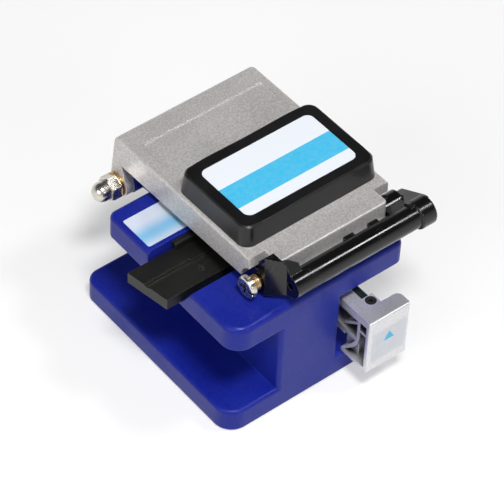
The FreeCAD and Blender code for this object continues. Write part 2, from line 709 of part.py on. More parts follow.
def lid_casting():
    """Silver casting: hollow lid with hinge ears, bail lugs and guide bosses."""
    lid = lid_outer().cut(lid_hollow())
    between = box(
        LID_LEFT + EAR_THICKNESS, LID_RIGHT - EAR_THICKNESS, EAR_FRONT - 1.5, LID_BACK + 3.0,
        HINGE_Z - EAR_RADIUS - 1.0, EAR_CUT_TOP
    )
    lid = lid.cut(between).cut(lid_panel())
    pocket = HUB_RADIUS + HUB_POCKET_GAP
    lid = lid.cut(rod_x(LID_LEFT - 1.0, TONGUE_LEFT, BAIL_Y, BAIL_Z, pocket))
    lid = lid.cut(rod_x(TONGUE_RIGHT, LID_RIGHT + 1.0, BAIL_Y, BAIL_Z, pocket))
    lug = 3.2
    lid = lid.fuse(rod_x(TONGUE_LEFT, TONGUE_LEFT + 4.0, BAIL_Y, BAIL_Z, lug))
    lid = lid.fuse(rod_x(TONGUE_RIGHT - 4.0, TONGUE_RIGHT, BAIL_Y, BAIL_Z, lug))
    lid = lid.cut(rod_x(LID_LEFT - 1.0, LID_RIGHT + 1.0, BAIL_Y, BAIL_Z, BAIL_SCREW_RADIUS + 0.02))
    lid = lid.cut(rod_x(LID_LEFT - 1.0, LID_RIGHT + 1.0, HINGE_Y, HINGE_Z, PIN_RADIUS + 0.02))
    lid = tilt(lid)
    left, right = stem_places()
    for x in left + right:
        lid = lid.fuse(guide_boss(x, FIBRE_Y, BOSS_RADIUS))
    lid = lid.fuse(guide_boss(BLADE_X, FIBRE_Y, 2.2))
    striker_top = STRIKER_BOTTOM + STRIKER_THICKNESS
    lid = lid.fuse(rod_z(MAGNET_X, MAGNET_Y, striker_top, BOSS_ROOT, MAGNET_RADIUS + 0.4))
    lid = lid.removeSplitter()
    for x in left + right:
        lid = lid.cut(rod_z(x, FIBRE_Y, BOSS_BOTTOM - 1.0, BOSS_ROOT - 1.2, STEM_RADIUS + RUNNING_GAP))
    return lid.cut(rod_z(BLADE_X, FIBRE_Y, BOSS_BOTTOM - 1.0, BOSS_ROOT - 1.2, ANVIL_STEM + RUNNING_GAP))


def guide_boss(x, y, radius):
    """Boss under the lid's roof that guides one stem."""
    return rod_z(x, y, BOSS_BOTTOM, BOSS_ROOT, radius)


def striker_disc():
    """Steel disc on the lid post, just over the magnet."""
    return rod_z(MAGNET_X, MAGNET_Y, STRIKER_BOTTOM, STRIKER_BOTTOM + STRIKER_THICKNESS, MAGNET_RADIUS)


def lid_cap():
    """Black cover on the lid: slightly drafted walls, a soft top edge and a label recess."""
    left, right = CAP_LEFT + CAP_DRAFT, CAP_RIGHT - CAP_DRAFT
    front, back = CAP_FRONT + CAP_DRAFT, CAP_BACK - CAP_DRAFT
    low = round_rectangle(CAP_LEFT, CAP_RIGHT, CAP_FRONT, CAP_BACK, 0.0, CAP_RADIUS)
    high = round_rectangle(left, right, front, back, CAP_HEIGHT, CAP_RADIUS - CAP_DRAFT / 2)
    cap = Part.makeLoft([low, high], True, True)
    cap = cap.makeChamfer(CAP_EDGE, level_edges(cap, CAP_HEIGHT))
    recess = round_plate(
        left + LABEL_INSET, right - LABEL_INSET, front + LABEL_INSET, back - LABEL_INSET,
        CAP_HEIGHT - LABEL_DEPTH, CAP_HEIGHT + 1.0, 2.4
    )
    cap = cap.cut(recess)
    cap.rotate(Vector(0, CAP_FRONT, 0), Vector(1, 0, 0), LID_SLOPE)
    cap.translate(Vector(0, 0, lid_top(CAP_FRONT) + 0.02))
    return tilt(cap)


# ---------------------------------------------------------------- hinge hardware


def hinge_pin():
    """Hinge pin with a flat round head on the right."""
    end = LID_LEFT - WASHER_THICKNESS - NUT_LENGTH - 2.0
    shank = rod_x(end, LID_RIGHT, HINGE_Y, HINGE_Z, PIN_RADIUS)
    head = rod_x(LID_RIGHT, LID_RIGHT + PIN_HEAD_LENGTH, HINGE_Y, HINGE_Z, PIN_HEAD_RADIUS)
    pin = shank.fuse(head).removeSplitter()
    rim = edges_where(pin, lambda p: abs(p.x - LID_RIGHT - PIN_HEAD_LENGTH) < 0.01)
    pin = pin.makeFillet(0.6, rim)
    slot = box(
        LID_RIGHT + PIN_HEAD_LENGTH - 0.7, LID_RIGHT + PIN_HEAD_LENGTH + 1.0,
        HINGE_Y - PIN_HEAD_RADIUS, HINGE_Y + PIN_HEAD_RADIUS, HINGE_Z - 0.4, HINGE_Z + 0.4
    )
    return pin.cut(slot)


def hinge_washer():
    """Washer between the left ear and the nut."""
    disc = rod_x(LID_LEFT - WASHER_THICKNESS, LID_LEFT, HINGE_Y, HINGE_Z, WASHER_RADIUS)
    return disc.cut(rod_x(LID_LEFT - 2.0, LID_LEFT + 1.0, HINGE_Y, HINGE_Z, PIN_RADIUS + 0.1))


def hinge_nut():
    """Domed hexagon nut on the left end of the hinge pin."""
    right = LID_LEFT - WASHER_THICKNESS
    across = NUT_FLATS / math.sqrt(3)
    corners = [(HINGE_Y + across * math.cos(math.radians(60 * i + 30)),
                HINGE_Z + across * math.sin(math.radians(60 * i + 30))) for i in range(6)]
    hexagon = prism_x(corners, right - NUT_LENGTH, right)
    bevel_start = Vector(right - NUT_LENGTH + 0.7, HINGE_Y, HINGE_Z)
    bevel = Part.makeCone(across, NUT_FLATS / 2 - 0.4, 1.4, bevel_start, Vector(-1, 0, 0))
    blank = rod_x(right - NUT_LENGTH + 0.7, right, HINGE_Y, HINGE_Z, across)
    hexagon = hexagon.common(blank.fuse(bevel))
    left = right - NUT_LENGTH
    neck = rod_x(left - 1.4, left + 0.5, HINGE_Y, HINGE_Z, NUT_DOME_RADIUS)
    dome = Part.makeSphere(NUT_DOME_RADIUS, Vector(left - 1.4, HINGE_Y, HINGE_Z))
    nut = hexagon.fuse([neck, dome]).removeSplitter()
    bore = rod_x(left - 2.1, right + 1.0, HINGE_Y, HINGE_Z, PIN_RADIUS + 0.02)
    return nut.cut(bore)


def hinge_spring():
    """Torsion spring on the hinge pin, between the barrel and the right ear."""
    start = BARREL_RIGHT + 0.7
    length = LID_RIGHT - EAR_THICKNESS - 0.6 - start
    return spring(Vector(start, HINGE_Y, HINGE_Z), Vector(1, 0, 0), PIN_RADIUS + 1.0, 0.4, length, 3)


# ---------------------------------------------------------------- bail
def bail_left_arm():
    """Oblique left arm, with the crest that stands up beside the lid's tongue."""
    front = BAR_Y - BAR_RADIUS - 1.0
    back = BAIL_Y + HUB_RADIUS + 1.0
    clear_of_tongue = TONGUE_FRONT - 1.7
    side = arm_profile(BAIL_Y, BAIL_Z, HUB_RADIUS, BAR_Y, BAR_Z, BAR_RADIUS, ARM_LEFT_OUTER, BAR_LEFT + 5.0)
    crest = prism_x([
        (CREST_BACK, BAIL_Z), (CREST_BACK, CREST_LOW), (CREST_BACK - 2.4, CREST_TOP),
        (TONGUE_FRONT - 2.4, CREST_TOP),
        (BAR_Y, BAR_Z + BAR_RADIUS), (BAR_Y, BAR_Z)
    ], ARM_LEFT_OUTER, BAR_LEFT + 5.0)
    plan = [
        (ARM_LEFT_OUTER, back), (ARM_LEFT_INNER, back), (ARM_LEFT_INNER, clear_of_tongue),
        (BAR_LEFT + 4.0, clear_of_tongue - 2.0), (BAR_LEFT + 4.0, front), (BAR_LEFT, front),
        (BAR_LEFT, BAR_Y + 1.6), (ARM_LEFT_OUTER, BAIL_Y - 3.0)
    ]
    return side.fuse(crest).removeSplitter().common(prism_z(plan, BAIL_Z - 10.0, BAR_Z + 10.0))


def bail_right_arm():
    """Right arm on the outer end of the bar, with the sleeve and web that fill the lid's notch."""
    back = BAIL_Y + HUB_RADIUS + 1.0
    start = TONGUE_RIGHT + SLEEVE_GAP
    side = arm_profile(
        BAIL_Y, BAIL_Z, ARM_RIGHT_RADIUS, BAR_Y, BAR_Z, BAR_END_RADIUS - 0.1, BAR_STEP - 2.0, BAR_RIGHT
    )
    plan = [
        (ARM_RIGHT_INNER, back), (BAR_RIGHT, back), (BAR_RIGHT, BAR_Y), (BAR_STEP - 1.0, BAR_Y),
        (BAR_STEP - 1.0, BAR_Y + 3.0), (ARM_RIGHT_INNER, BAIL_Y - 2.4)
    ]
    arm = side.common(prism_z(plan, BAIL_Z - 10.0, BAR_Z + 10.0))
    web = arm_profile(BAIL_Y, BAIL_Z, 2.4, BAR_Y, BAR_Z, 2.3, start, ARM_RIGHT_INNER + 1.0)
    sleeve = rod_x(start, ARM_RIGHT_INNER, BAIL_Y, BAIL_Z, SLEEVE_RADIUS)
    return arm.fuse([web, sleeve])


def bail_lever():
    """U-shaped lever: round bar, crested left arm, sleeved right arm and two small nubs."""
    bar = rod_x(BAR_LEFT, BAR_STEP, BAR_Y, BAR_Z, BAR_RADIUS)
    knob = rod_x(BAR_STEP, BAR_RIGHT, BAR_Y, BAR_Z, BAR_END_RADIUS)
    knob = knob.makeFillet(0.7, edges_where(knob, lambda p: True))
    lever = bar.fuse([knob, bail_left_arm(), bail_right_arm()])
    for x in (10.6, 19.4):
        lever = lever.fuse(nub(x))
    lever = lever.removeSplitter()
    lever = lever.cut(rod_x(ARM_LEFT_OUTER - 1.0, ARM_LEFT_INNER + 1.0, BAIL_Y, BAIL_Z, BAIL_BORE))
    lever = lever.cut(rod_x(TONGUE_RIGHT, BAR_RIGHT + 1.0, BAIL_Y, BAIL_Z, BAIL_BORE))
    lever = lever.cut(rod_x(BAR_LEFT - 1.0, BAR_LEFT + 6.0, BAR_Y, BAR_Z, 1.2))
    return tilt(lever)


def nub(x):
    """Small moulded nub along the back of the bar."""
    back = BAR_Y + BAR_RADIUS
    return box(x, x + 3.4, back - 2.0, back - 0.1, BAR_Z + 1.0, BAR_Z + BAR_RADIUS - 0.8)


def bail_screws():
    """The headed screw and the slotted pin that the bail turns on."""
    left = pivot_screw(ARM_LEFT_OUTER - BAIL_SPRING_LENGTH, TONGUE_LEFT + 3.6, -1)
    right = rod_x(TONGUE_RIGHT - 3.6, BAR_RIGHT - 0.2, BAIL_Y, BAIL_Z, BAIL_SCREW_RADIUS)
    slot = box(BAR_RIGHT - 1.0, BAR_RIGHT, BAIL_Y - 2.0, BAIL_Y + 2.0, BAIL_Z - 0.3, BAIL_Z + 0.3)
    return tilt(Part.makeCompound([left, right.cut(slot)]))


def pivot_screw(face, tip, side):
    """Screw along X with a slotted, crowned head on the outer side of a face."""
    low, high = sorted([face, tip])
    shank = rod_x(low, high, BAIL_Y, BAIL_Z, BAIL_SCREW_RADIUS)
    outer = face + side * BAIL_HEAD_LENGTH
    head_low, head_high = sorted([face, outer])
    head = rod_x(head_low, head_high, BAIL_Y, BAIL_Z, BAIL_HEAD_RADIUS)
    screw = shank.fuse(head).removeSplitter()
    screw = screw.makeFillet(0.7, edges_where(screw, lambda p: abs(p.x - outer) < 0.01))
    slot_low, slot_high = sorted([outer - side * 0.8, outer + side * 1.0])
    slot = box(slot_low, slot_high, BAIL_Y - 4.0, BAIL_Y + 4.0, BAIL_Z - 0.45, BAIL_Z + 0.45)
    cross = box(slot_low, slot_high, BAIL_Y - 0.45, BAIL_Y + 0.45, BAIL_Z - 2.2, BAIL_Z + 2.2)
    return screw.cut(slot).cut(cross)


def bail_spring():
    """Brass-coloured coil spring between the left screw's head and the arm."""
    wire = 0.27
    start = ARM_LEFT_OUTER - BAIL_SPRING_LENGTH + BAIL_SPRING_GAP + wire
    length = BAIL_SPRING_LENGTH - 2 * BAIL_SPRING_GAP - 2 * wire
    coil = spring(Vector(start, BAIL_Y, BAIL_Z), Vector(1, 0, 0), BAIL_SCREW_RADIUS + 0.6, wire, length, 3)
    return tilt(coil)


# ---------------------------------------------------------------- slider


def push_block():
    """Hollow front block: thin front and right walls under a roof, open to the left and back."""
    back = SLIDER_FRONT + SLIDER_BLOCK
    block = box(SLIDER_LEFT, SLIDER_RIGHT, SLIDER_FRONT, back, SLIDER_BOTTOM, SLIDER_TOP)
    back_corner = upright_edges(block, lambda p: p.y > back - 0.1 and p.x > SLIDER_RIGHT - 0.1)
    block = block.makeFillet(2.0, back_corner)
    block = block.makeFillet(0.8, edges_where(block, lambda p: p.y < SLIDER_FRONT + 0.01))
    hollow = box(
        SLIDER_LEFT - 1.0, SLIDER_RIGHT - SLIDER_WALL, SLIDER_FRONT + SLIDER_WALL, back + 1.0,
        SLIDER_BOTTOM - 1.0, SLIDER_TOP - SLIDER_ROOF
    )
    return block.cut(hollow)


def push_block_ribs():
    """Ribs in the block's left side: a curved one, a short cross rib and the bottom flange."""
    inner = SLIDER_FRONT + SLIDER_WALL - 0.3
    curved = prism_x([
        (-40.1, SLIDER_TOP - 2.0), (-40.2, 19.3), (-39.6, 16.6), (-38.3, 14.2), (-36.2, 11.9), (-34.0, 9.6),
        (-34.0, 11.2), (-35.6, 12.9), (-37.3, 15.0), (-38.6, 17.2), (-39.1, 19.5), (-39.0, SLIDER_TOP - 2.0)
    ], SLIDER_LEFT + 0.5, SLIDER_SIDE_LEFT - 0.4)
    cross = box(SLIDER_LEFT + 0.5, SLIDER_SIDE_LEFT + 0.5, inner, -39.6, 22.4, 23.4)
    slant = prism_x([
        (-39.6, 25.8), (-33.2, 21.0), (-33.2, 19.8), (-39.6, 24.6)
    ], SLIDER_LEFT + 1.0, SLIDER_SIDE_LEFT + 0.5)
    flange = box(SLIDER_LEFT, SLIDER_SIDE_LEFT - 0.4, inner, -33.4, SLIDER_BOTTOM, SLIDER_BOTTOM + 1.3)
    return [curved, cross, slant, flange]


def slider_casting():
    """Push block and sled: ribbed block, arm, webs and the plate on the carriage."""
    block_back = SLIDER_FRONT + SLIDER_BLOCK
    web_right = SLIDER_WEB_LEFT + SLIDER_WEB
    side_right = SLIDER_SIDE_LEFT + SLIDER_WEB
    rail_clear = RAIL_TOP + STOP_HEIGHT + 0.4
    arm_bottom = SLIDER_TOP - SLIDER_ARM
    arm = box(SLIDER_LEFT, SLIDER_SIDE_LEFT + 0.1, block_back - 0.5, ARM_BACK, arm_bottom, SLIDER_TOP)
    boss = box(SLIDER_LEFT, ARM_SCREW_RIGHT, block_back - 0.5, STRIP_FRONT, arm_bottom, SLIDER_TOP)
    side = box(SLIDER_SIDE_LEFT, side_right, SLIDER_FRONT + 1.0, -38.6, SLIDER_BOTTOM, SLIDER_TOP - 0.5)
    side = side.fuse(box(SLIDER_SIDE_LEFT, side_right, -38.7, -25.0, rail_clear, STRIP_BOTTOM - 0.02))
    low_side = box(
        SLIDER_SIDE_LEFT - 2.2, SLIDER_SIDE_LEFT - 0.4, -38.7, -33.4, SLIDER_BOTTOM, rail_clear + 2.0
    )
    web = box(SLIDER_WEB_LEFT, web_right, -27.0, CARRIAGE_BACK, CARRIAGE_TOP + 0.5, SLIDER_TOP - 0.6)
    web = web.fuse(box(SLIDER_SIDE_LEFT + 0.5, web_right, -27.0, -25.1, rail_clear, STRIP_BOTTOM - 0.02))
    notch = box(
        SLIDER_WEB_LEFT - 1.0, web_right + 1.0, BLADE_START_Y - HOLDER_HALF, CARRIAGE_BACK + 1.0,
        SLIDER_TOP - 4.0, SLIDER_TOP + 1.0
    )
    web = web.cut(notch)
    strip_room = box(
        STRIP_LEFT - 0.1, web_right + 1.0, -27.1, STRIP_BACK + 0.2, STRIP_BOTTOM - 0.02, SLIDER_TOP + 1.0
    )
    web = web.cut(strip_room)
    shelf = box(
        SLIDER_LEFT + 0.6, side_right, -39.2, -31.0, CARRIAGE_TOP + 1.0, CARRIAGE_TOP + PLATE_THICKNESS
    )
    plate = box(
        SLIDER_LEFT + 0.6, SLIDER_RIGHT, -20.0, CARRIAGE_BACK, CARRIAGE_TOP, CARRIAGE_TOP + PLATE_THICKNESS
    )
    neck = box(SLIDER_LEFT + 0.6, side_right, -34.0, -19.0, CARRIAGE_TOP, CARRIAGE_TOP + PLATE_THICKNESS)
    slider = push_block().fuse([arm, boss, side, low_side, web, shelf, plate, neck] + push_block_ribs())
    slider = slider.removeSplitter()
    for x, y in carriage_screw_places():
        slider = slider.cut(rod_z(x, y, CARRIAGE_TOP - 1.0, CARRIAGE_TOP + PLATE_THICKNESS + 1.0, 1.1))
    for y, z in holder_screw_places():
        slider = slider.cut(rod_x(SLIDER_WEB_LEFT - 1.0, web_right + 1.0, y, z, 0.82))
    return slider.cut(rod_z(*ARM_SCREW_PLACE, SLIDER_TOP - 2.6, SLIDER_TOP + 1.0, ARM_SCREW_RADIUS + 0.02))


def push_block_strip():
    """Dark strip that lies along the arm's right edge."""
    return box(STRIP_LEFT, STRIP_RIGHT, STRIP_FRONT + 0.1, STRIP_BACK, STRIP_BOTTOM, SLIDER_TOP - 0.1)


def push_block_screw():
    """Dark socket screw sunk in the slider's arm."""
    x, y = ARM_SCREW_PLACE
    head = rod_z(x, y, SLIDER_TOP - 2.6, SLIDER_TOP - 0.2, ARM_SCREW_RADIUS)
    turns = [math.radians(60 * i) for i in range(6)]
    corners = [(x + 0.9 * math.cos(turn), y + 0.9 * math.sin(turn)) for turn in turns]
    return head.cut(prism_z(corners, SLIDER_TOP - 1.5, SLIDER_TOP))


def carriage_screw_places():
    """Plan places of the four screws between slider and carriage."""
    middle = (CARRIAGE_FRONT + CARRIAGE_BACK) / 2
    return [(RAIL_X + dx, middle + dy) for dx in (-6.0, 6.0) for dy in (-4.0, 4.0)]


def rail_carriage():
    """Carriage block that runs on the rail."""
    half = CARRIAGE_WIDTH / 2
    block = box(
        RAIL_X - half, RAIL_X + half, CARRIAGE_FRONT + CARRIAGE_CAP, CARRIAGE_BACK - CARRIAGE_CAP,
        BASE_TOP + 1.5, CARRIAGE_TOP
    )
    block = block.cut(rail_clearance())
    for x, y in carriage_screw_places():
        block = block.cut(rod_z(x, y, CARRIAGE_TOP - 3.2, CARRIAGE_TOP + 1.0, 0.92))
    return block


def rail_clearance():
    """Space around the rail inside the carriage."""
    half = RAIL_WIDTH / 2 + CARRIAGE_GAP
    top = RAIL_TOP + CARRIAGE_GAP
    return box(RAIL_X - half, RAIL_X + half, CARRIAGE_FRONT - 1.0, CARRIAGE_BACK + 1.0, BASE_TOP, top)


def carriage_end_caps():
    """Plastic caps on both ends of the carriage."""
    half = CARRIAGE_WIDTH / 2 - 0.3
    caps = []
    for start in (CARRIAGE_FRONT, CARRIAGE_BACK - CARRIAGE_CAP):
        end = start + CARRIAGE_CAP
        cap = box(RAIL_X - half, RAIL_X + half, start, end, BASE_TOP + 1.7, CARRIAGE_TOP - 0.4)
        caps.append(cap.cut(rail_clearance()))
    return Part.makeCompound(caps)


def carriage_screws():
    """Socket screws that hold the slider to the carriage."""
    seat = CARRIAGE_TOP + PLATE_THICKNESS
    return Part.makeCompound([
        socket_screw(x, y, seat, PLATE_THICKNESS + 2.8, 0.9, 1.7, 1.6) for x, y in carriage_screw_places()
    ])


def holder_screw_places():
    """Places (y, z) of the two screws that hold the blade holder."""
    return [(BLADE_START_Y - 2.2, 22.4), (BLADE_START_Y + 2.2, 22.4)]


def blade_holder():
    """Plate on the slider's web that carries the blade's axle, round about the axle."""
    top = arm_profile(
        BLADE_START_Y, BLADE_Z - 6.0, HOLDER_HALF, BLADE_START_Y, BLADE_Z, HOLDER_ROUND,
        HOLDER_LEFT, HOLDER_RIGHT
    )
    foot = box(
        HOLDER_LEFT, HOLDER_RIGHT, BLADE_START_Y - HOLDER_HALF, BLADE_START_Y + HOLDER_HALF,
        CARRIAGE_TOP + PLATE_THICKNESS + 0.4, BLADE_Z - 6.0
    )
    sleeve = rod_x(BLADE_X + BLADE_THICKNESS / 2 + 0.1, HOLDER_LEFT, BLADE_START_Y, BLADE_Z, 2.4)
    holder = top.fuse([foot, sleeve]).removeSplitter()
    holder = holder.cut(rod_x(BLADE_X, HOLDER_RIGHT + 1.0, BLADE_START_Y, BLADE_Z, AXLE_RADIUS + 0.02))
    for y, z in holder_screw_places():
        holder = holder.cut(rod_x(HOLDER_LEFT - 1.0, HOLDER_RIGHT + 1.0, y, z, 0.9))
    return holder


def holder_screws():
    """Pan-head screws that fix the blade holder to the web."""
    screws = []
    for y, z in holder_screw_places():
        shank = rod_x(SLIDER_WEB_LEFT + 0.2, HOLDER_RIGHT, y, z, 0.8)
        head = rod_x(HOLDER_RIGHT, HOLDER_RIGHT + 1.1, y, z, 1.6)
        slot = box(HOLDER_RIGHT + 0.6, HOLDER_RIGHT + 2.0, y - 2.0, y + 2.0, z - 0.25, z + 0.25)
        screws.append(shank.fuse(head).removeSplitter().cut(slot))
    return Part.makeCompound(screws)


def blade_axle():
    """Axle screw that the blade wheel turns on, with its head on the left."""
    inner = BLADE_X - BLADE_THICKNESS / 2 - 0.1
    shank = rod_x(inner, HOLDER_RIGHT, BLADE_START_Y, BLADE_Z, AXLE_RADIUS)
    head = rod_x(inner - 1.5, inner, BLADE_START_Y, BLADE_Z, 2.6)
    low, high = BLADE_START_Y - 3.0, BLADE_START_Y + 3.0
    slot = box(inner - 2.0, inner - 0.8, low, high, BLADE_Z - 0.3, BLADE_Z + 0.3)
    return shank.fuse(head).removeSplitter().cut(slot)


def blade_wheel():
    """Round blade: a thin disc ground to an edge on both sides, with index holes."""
    half = BLADE_THICKNESS / 2
    outline = [
        (0.0, -half), (BLADE_RADIUS - 1.0, -half), (BLADE_RADIUS, -0.05), (BLADE_RADIUS, 0.05),
        (BLADE_RADIUS - 1.0, half), (0.0, half)
    ]
    closed = outline + outline[:1]
    wire = Part.makePolygon([Vector(BLADE_X + x, BLADE_START_Y, BLADE_Z + r) for r, x in closed])
    disc = Part.Face(wire).revolve(Vector(BLADE_X, BLADE_START_Y, BLADE_Z), Vector(1, 0, 0), 360)
    disc = disc.cut(rod_x(BLADE_X - 2.0, BLADE_X + 2.0, BLADE_START_Y, BLADE_Z, AXLE_RADIUS + RUNNING_GAP))
    for index in range(8):
        angle = math.radians(45 * index + 22.5)
        y = BLADE_START_Y + 4.6 * math.cos(angle)
        z = BLADE_Z + 4.6 * math.sin(angle)
        disc = disc.cut(rod_x(BLADE_X - 2.0, BLADE_X + 2.0, y, z, 0.6))
    return disc


# ---------------------------------------------------------------- upper clamps and anvil


def upper_clamp(x0, x1, stems):
    """Upper clamp block with two guide stems."""
    half = CLAMP_PAD_WIDTH / 2 + 0.9
    block = prism_x([
        (FIBRE_Y - half + 0.6, UPPER_PAD_TOP), (FIBRE_Y + half - 0.6, UPPER_PAD_TOP),
        (FIBRE_Y + half, UPPER_PAD_TOP + 0.6), (FIBRE_Y + half, UPPER_BLOCK_TOP),
        (FIBRE_Y - half, UPPER_BLOCK_TOP), (FIBRE_Y - half, UPPER_PAD_TOP + 0.6)
    ], x0, x1)
    for x in stems:
        block = block.fuse(rod_z(x, FIBRE_Y, UPPER_BLOCK_TOP - 0.5, STEM_TOP, STEM_RADIUS))
    return block.removeSplitter()


def upper_pad(x0, x1):
    """Rubber pad under an upper clamp block."""
    half = CLAMP_PAD_WIDTH / 2
    return box(x0, x1, FIBRE_Y - half, FIBRE_Y + half, FIBRE_Z + FIBRE_GAP, UPPER_PAD_TOP)


def clamp_spring(x):
    """Coil spring around a guide stem, between block and boss."""
    wire = 0.3
    start = UPPER_BLOCK_TOP + 0.15 + wire
    length = BOSS_BOTTOM - 0.15 - wire - start
    return spring(Vector(x, FIBRE_Y, start), Vector(0, 0, 1), STEM_RADIUS + 0.6, wire, length, 1.5)


def anvil():
    """Narrow anvil over the blade line, on a guide stem."""
    half = 1.0
    foot = FIBRE_Z + FIBRE_GAP + 0.1
    block = prism_x([
        (FIBRE_Y - 2.0, foot), (FIBRE_Y + 2.0, foot), (FIBRE_Y + 2.6, foot + 1.2),
        (FIBRE_Y + 2.6, UPPER_BLOCK_TOP - 0.6),
        (FIBRE_Y - 2.6, UPPER_BLOCK_TOP - 0.6), (FIBRE_Y - 2.6, foot + 1.2)
    ], BLADE_X - half, BLADE_X + half)
    stem = rod_z(BLADE_X, FIBRE_Y, UPPER_BLOCK_TOP - 1.2, STEM_TOP, ANVIL_STEM)
    collar = rod_z(BLADE_X, FIBRE_Y, UPPER_BLOCK_TOP - 0.6, UPPER_BLOCK_TOP, 2.0)
    return block.fuse([stem, collar]).removeSplitter()


def anvil_spring():
    """Coil spring over the anvil's collar."""
    wire = 0.25
    start = UPPER_BLOCK_TOP + 0.15 + wire
    length = BOSS_BOTTOM - 0.15 - wire - start
    return spring(Vector(BLADE_X, FIBRE_Y, start), Vector(0, 0, 1), ANVIL_STEM + 0.5, wire, length, 2)


# ---------------------------------------------------------------- build
def main():
    """Build every piece and write one file for each node."""
    os.makedirs("parts", exist_ok=True)
    left_stems, right_stems = stem_places()
    save("body_casting", body_casting())
    save("rubber_sole", sole_plate(0.0, SOLE_PROUD + SOLE_RECESS - 0.02, 0.2))
    save("linear_rail", linear_rail())
    save("rail_screws", rail_screws())
    save("rail_stop_pins", rail_stop_pins())
    save("adapter_plate", adapter_plate())
    save("adapter_screws", adapter_screws())
    save("fibre_guide_rail", fibre_guide_rail())
    save("lower_clamp_left", lower_clamp(CLAMP_LEFT_START, CLAMP_LEFT_END))
    save("lower_pad_left", lower_pad(CLAMP_LEFT_START, CLAMP_LEFT_END))
    save("lower_clamp_right", lower_clamp(CLAMP_RIGHT_START, CLAMP_RIGHT_END))
    save("lower_pad_right", lower_pad(CLAMP_RIGHT_START, CLAMP_RIGHT_END))
    save("lid_magnet", lid_magnet())
    save("lid_casting", lid_casting())
    save("lid_cap", lid_cap())
    save("hinge_pin", hinge_pin())
    save("hinge_washer", hinge_washer())
    save("hinge_nut", hinge_nut())
    save("hinge_spring", hinge_spring())
    save("striker_disc", striker_disc())
    save("bail_lever", bail_lever())
    save("bail_screws", bail_screws())
    save("bail_spring", bail_spring())
    save("slider_casting", slider_casting())
    save("push_block_screw", push_block_screw())
    save("push_block_strip", push_block_strip())
    save("rail_carriage", rail_carriage())
    save("carriage_end_caps", carriage_end_caps())
    save("carriage_screws", carriage_screws())
    save("blade_holder", blade_holder())
    save("holder_screws", holder_screws())
    save("blade_axle", blade_axle())
    save("blade_wheel", blade_wheel())
    save("upper_clamp_left", upper_clamp(CLAMP_LEFT_START, CLAMP_LEFT_END, left_stems))
    save("upper_pad_left", upper_pad(CLAMP_LEFT_START, CLAMP_LEFT_END))
    save("clamp_springs_left", Part.makeCompound([clamp_spring(x) for x in left_stems]))
    save("upper_clamp_right", upper_clamp(CLAMP_RIGHT_START, CLAMP_RIGHT_END, right_stems))
    save("upper_pad_right", upper_pad(CLAMP_RIGHT_START, CLAMP_RIGHT_END))
    save("clamp_springs_right", Part.makeCompound([clamp_spring(x) for x in right_stems]))
    save("anvil", anvil())
    save("anvil_spring", anvil_spring())


if __name__ == "__main__":
    main()
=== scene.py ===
"""Finishes, small fittings, light and camera for the bench-top fibre cleaver.

The packed model is the fixed frame. Each sub-assembly below dresses its own CAD pieces
and adds what is too fine for them: labels, smooth springs and the numbers on the wheel.
Lengths are in millimetres until they reach Blender, which works in metres.
"""
import logging
import math
from dataclasses import dataclass
from enum import Enum

import bmesh
import bpy
from mathutils import Matrix, Vector


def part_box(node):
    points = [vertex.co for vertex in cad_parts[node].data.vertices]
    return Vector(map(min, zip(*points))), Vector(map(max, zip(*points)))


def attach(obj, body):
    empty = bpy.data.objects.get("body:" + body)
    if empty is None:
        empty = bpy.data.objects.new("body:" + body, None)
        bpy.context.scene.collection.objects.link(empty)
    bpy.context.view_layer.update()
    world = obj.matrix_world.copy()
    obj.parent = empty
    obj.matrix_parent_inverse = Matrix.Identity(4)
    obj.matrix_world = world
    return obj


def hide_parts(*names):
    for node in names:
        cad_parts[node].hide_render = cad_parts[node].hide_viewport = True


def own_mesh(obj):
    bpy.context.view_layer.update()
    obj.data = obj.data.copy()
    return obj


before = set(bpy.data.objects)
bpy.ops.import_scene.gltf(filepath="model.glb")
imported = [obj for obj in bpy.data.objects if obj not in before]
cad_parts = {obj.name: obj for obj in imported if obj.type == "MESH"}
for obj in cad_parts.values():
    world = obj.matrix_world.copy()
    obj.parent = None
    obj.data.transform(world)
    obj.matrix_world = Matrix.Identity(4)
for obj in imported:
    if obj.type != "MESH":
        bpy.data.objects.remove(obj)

MM = 0.001
WELD = 0.0005               # points nearer than this are one point
SMOOTH_ANGLE = 35.0         # edges that turn more, in degrees, are shaded sharp
FLAT_ANGLE = 0.01           # faces that turn less, in radians, are one face
FACING = 0.95               # least cosine between a face and the way it should look
PLANE_STEP = 0.05           # faces whose planes lie nearer than this share a plane
CORNER_STEPS = 6
TURN_STEPS = 28             # rings in one turn of a wound wire
WIRE_SIDES = 10
PART_GAP = 1.5              # least gap along X between two springs of one CAD piece
SMOOTHER = 0.05             # how far below its middle a roughness strays
ROUGHER = 0.07              # and how far above
BEVEL_SAMPLES = 4
HOLLOW_SAMPLES = 8
WHITE = (1.0, 1.0, 1.0, 1.0)
LOG = logging.getLogger("cleaver")

Socket = bpy.types.NodeSocket
Fill = float | tuple | Socket
Colour = tuple[float, float, float, float]
Triple = tuple[float, float, float]
BMesh = bmesh.types.BMesh


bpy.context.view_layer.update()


# ---------------------------------------------------------------- choices
class Axis(Enum):
    """A main direction of the part."""

    X = (1.0, 0.0, 0.0)
    Y = (0.0, 1.0, 0.0)
    Z = (0.0, 0.0, 1.0)

    @property
    def vector(self) -> Vector:
        """The direction as a vector."""
        return Vector(self.value)


class Body(Enum):
    """The rigid bodies that the new pieces ride on."""

    BASE = "base"
    LID = "lid"
    BLADE = "blade"


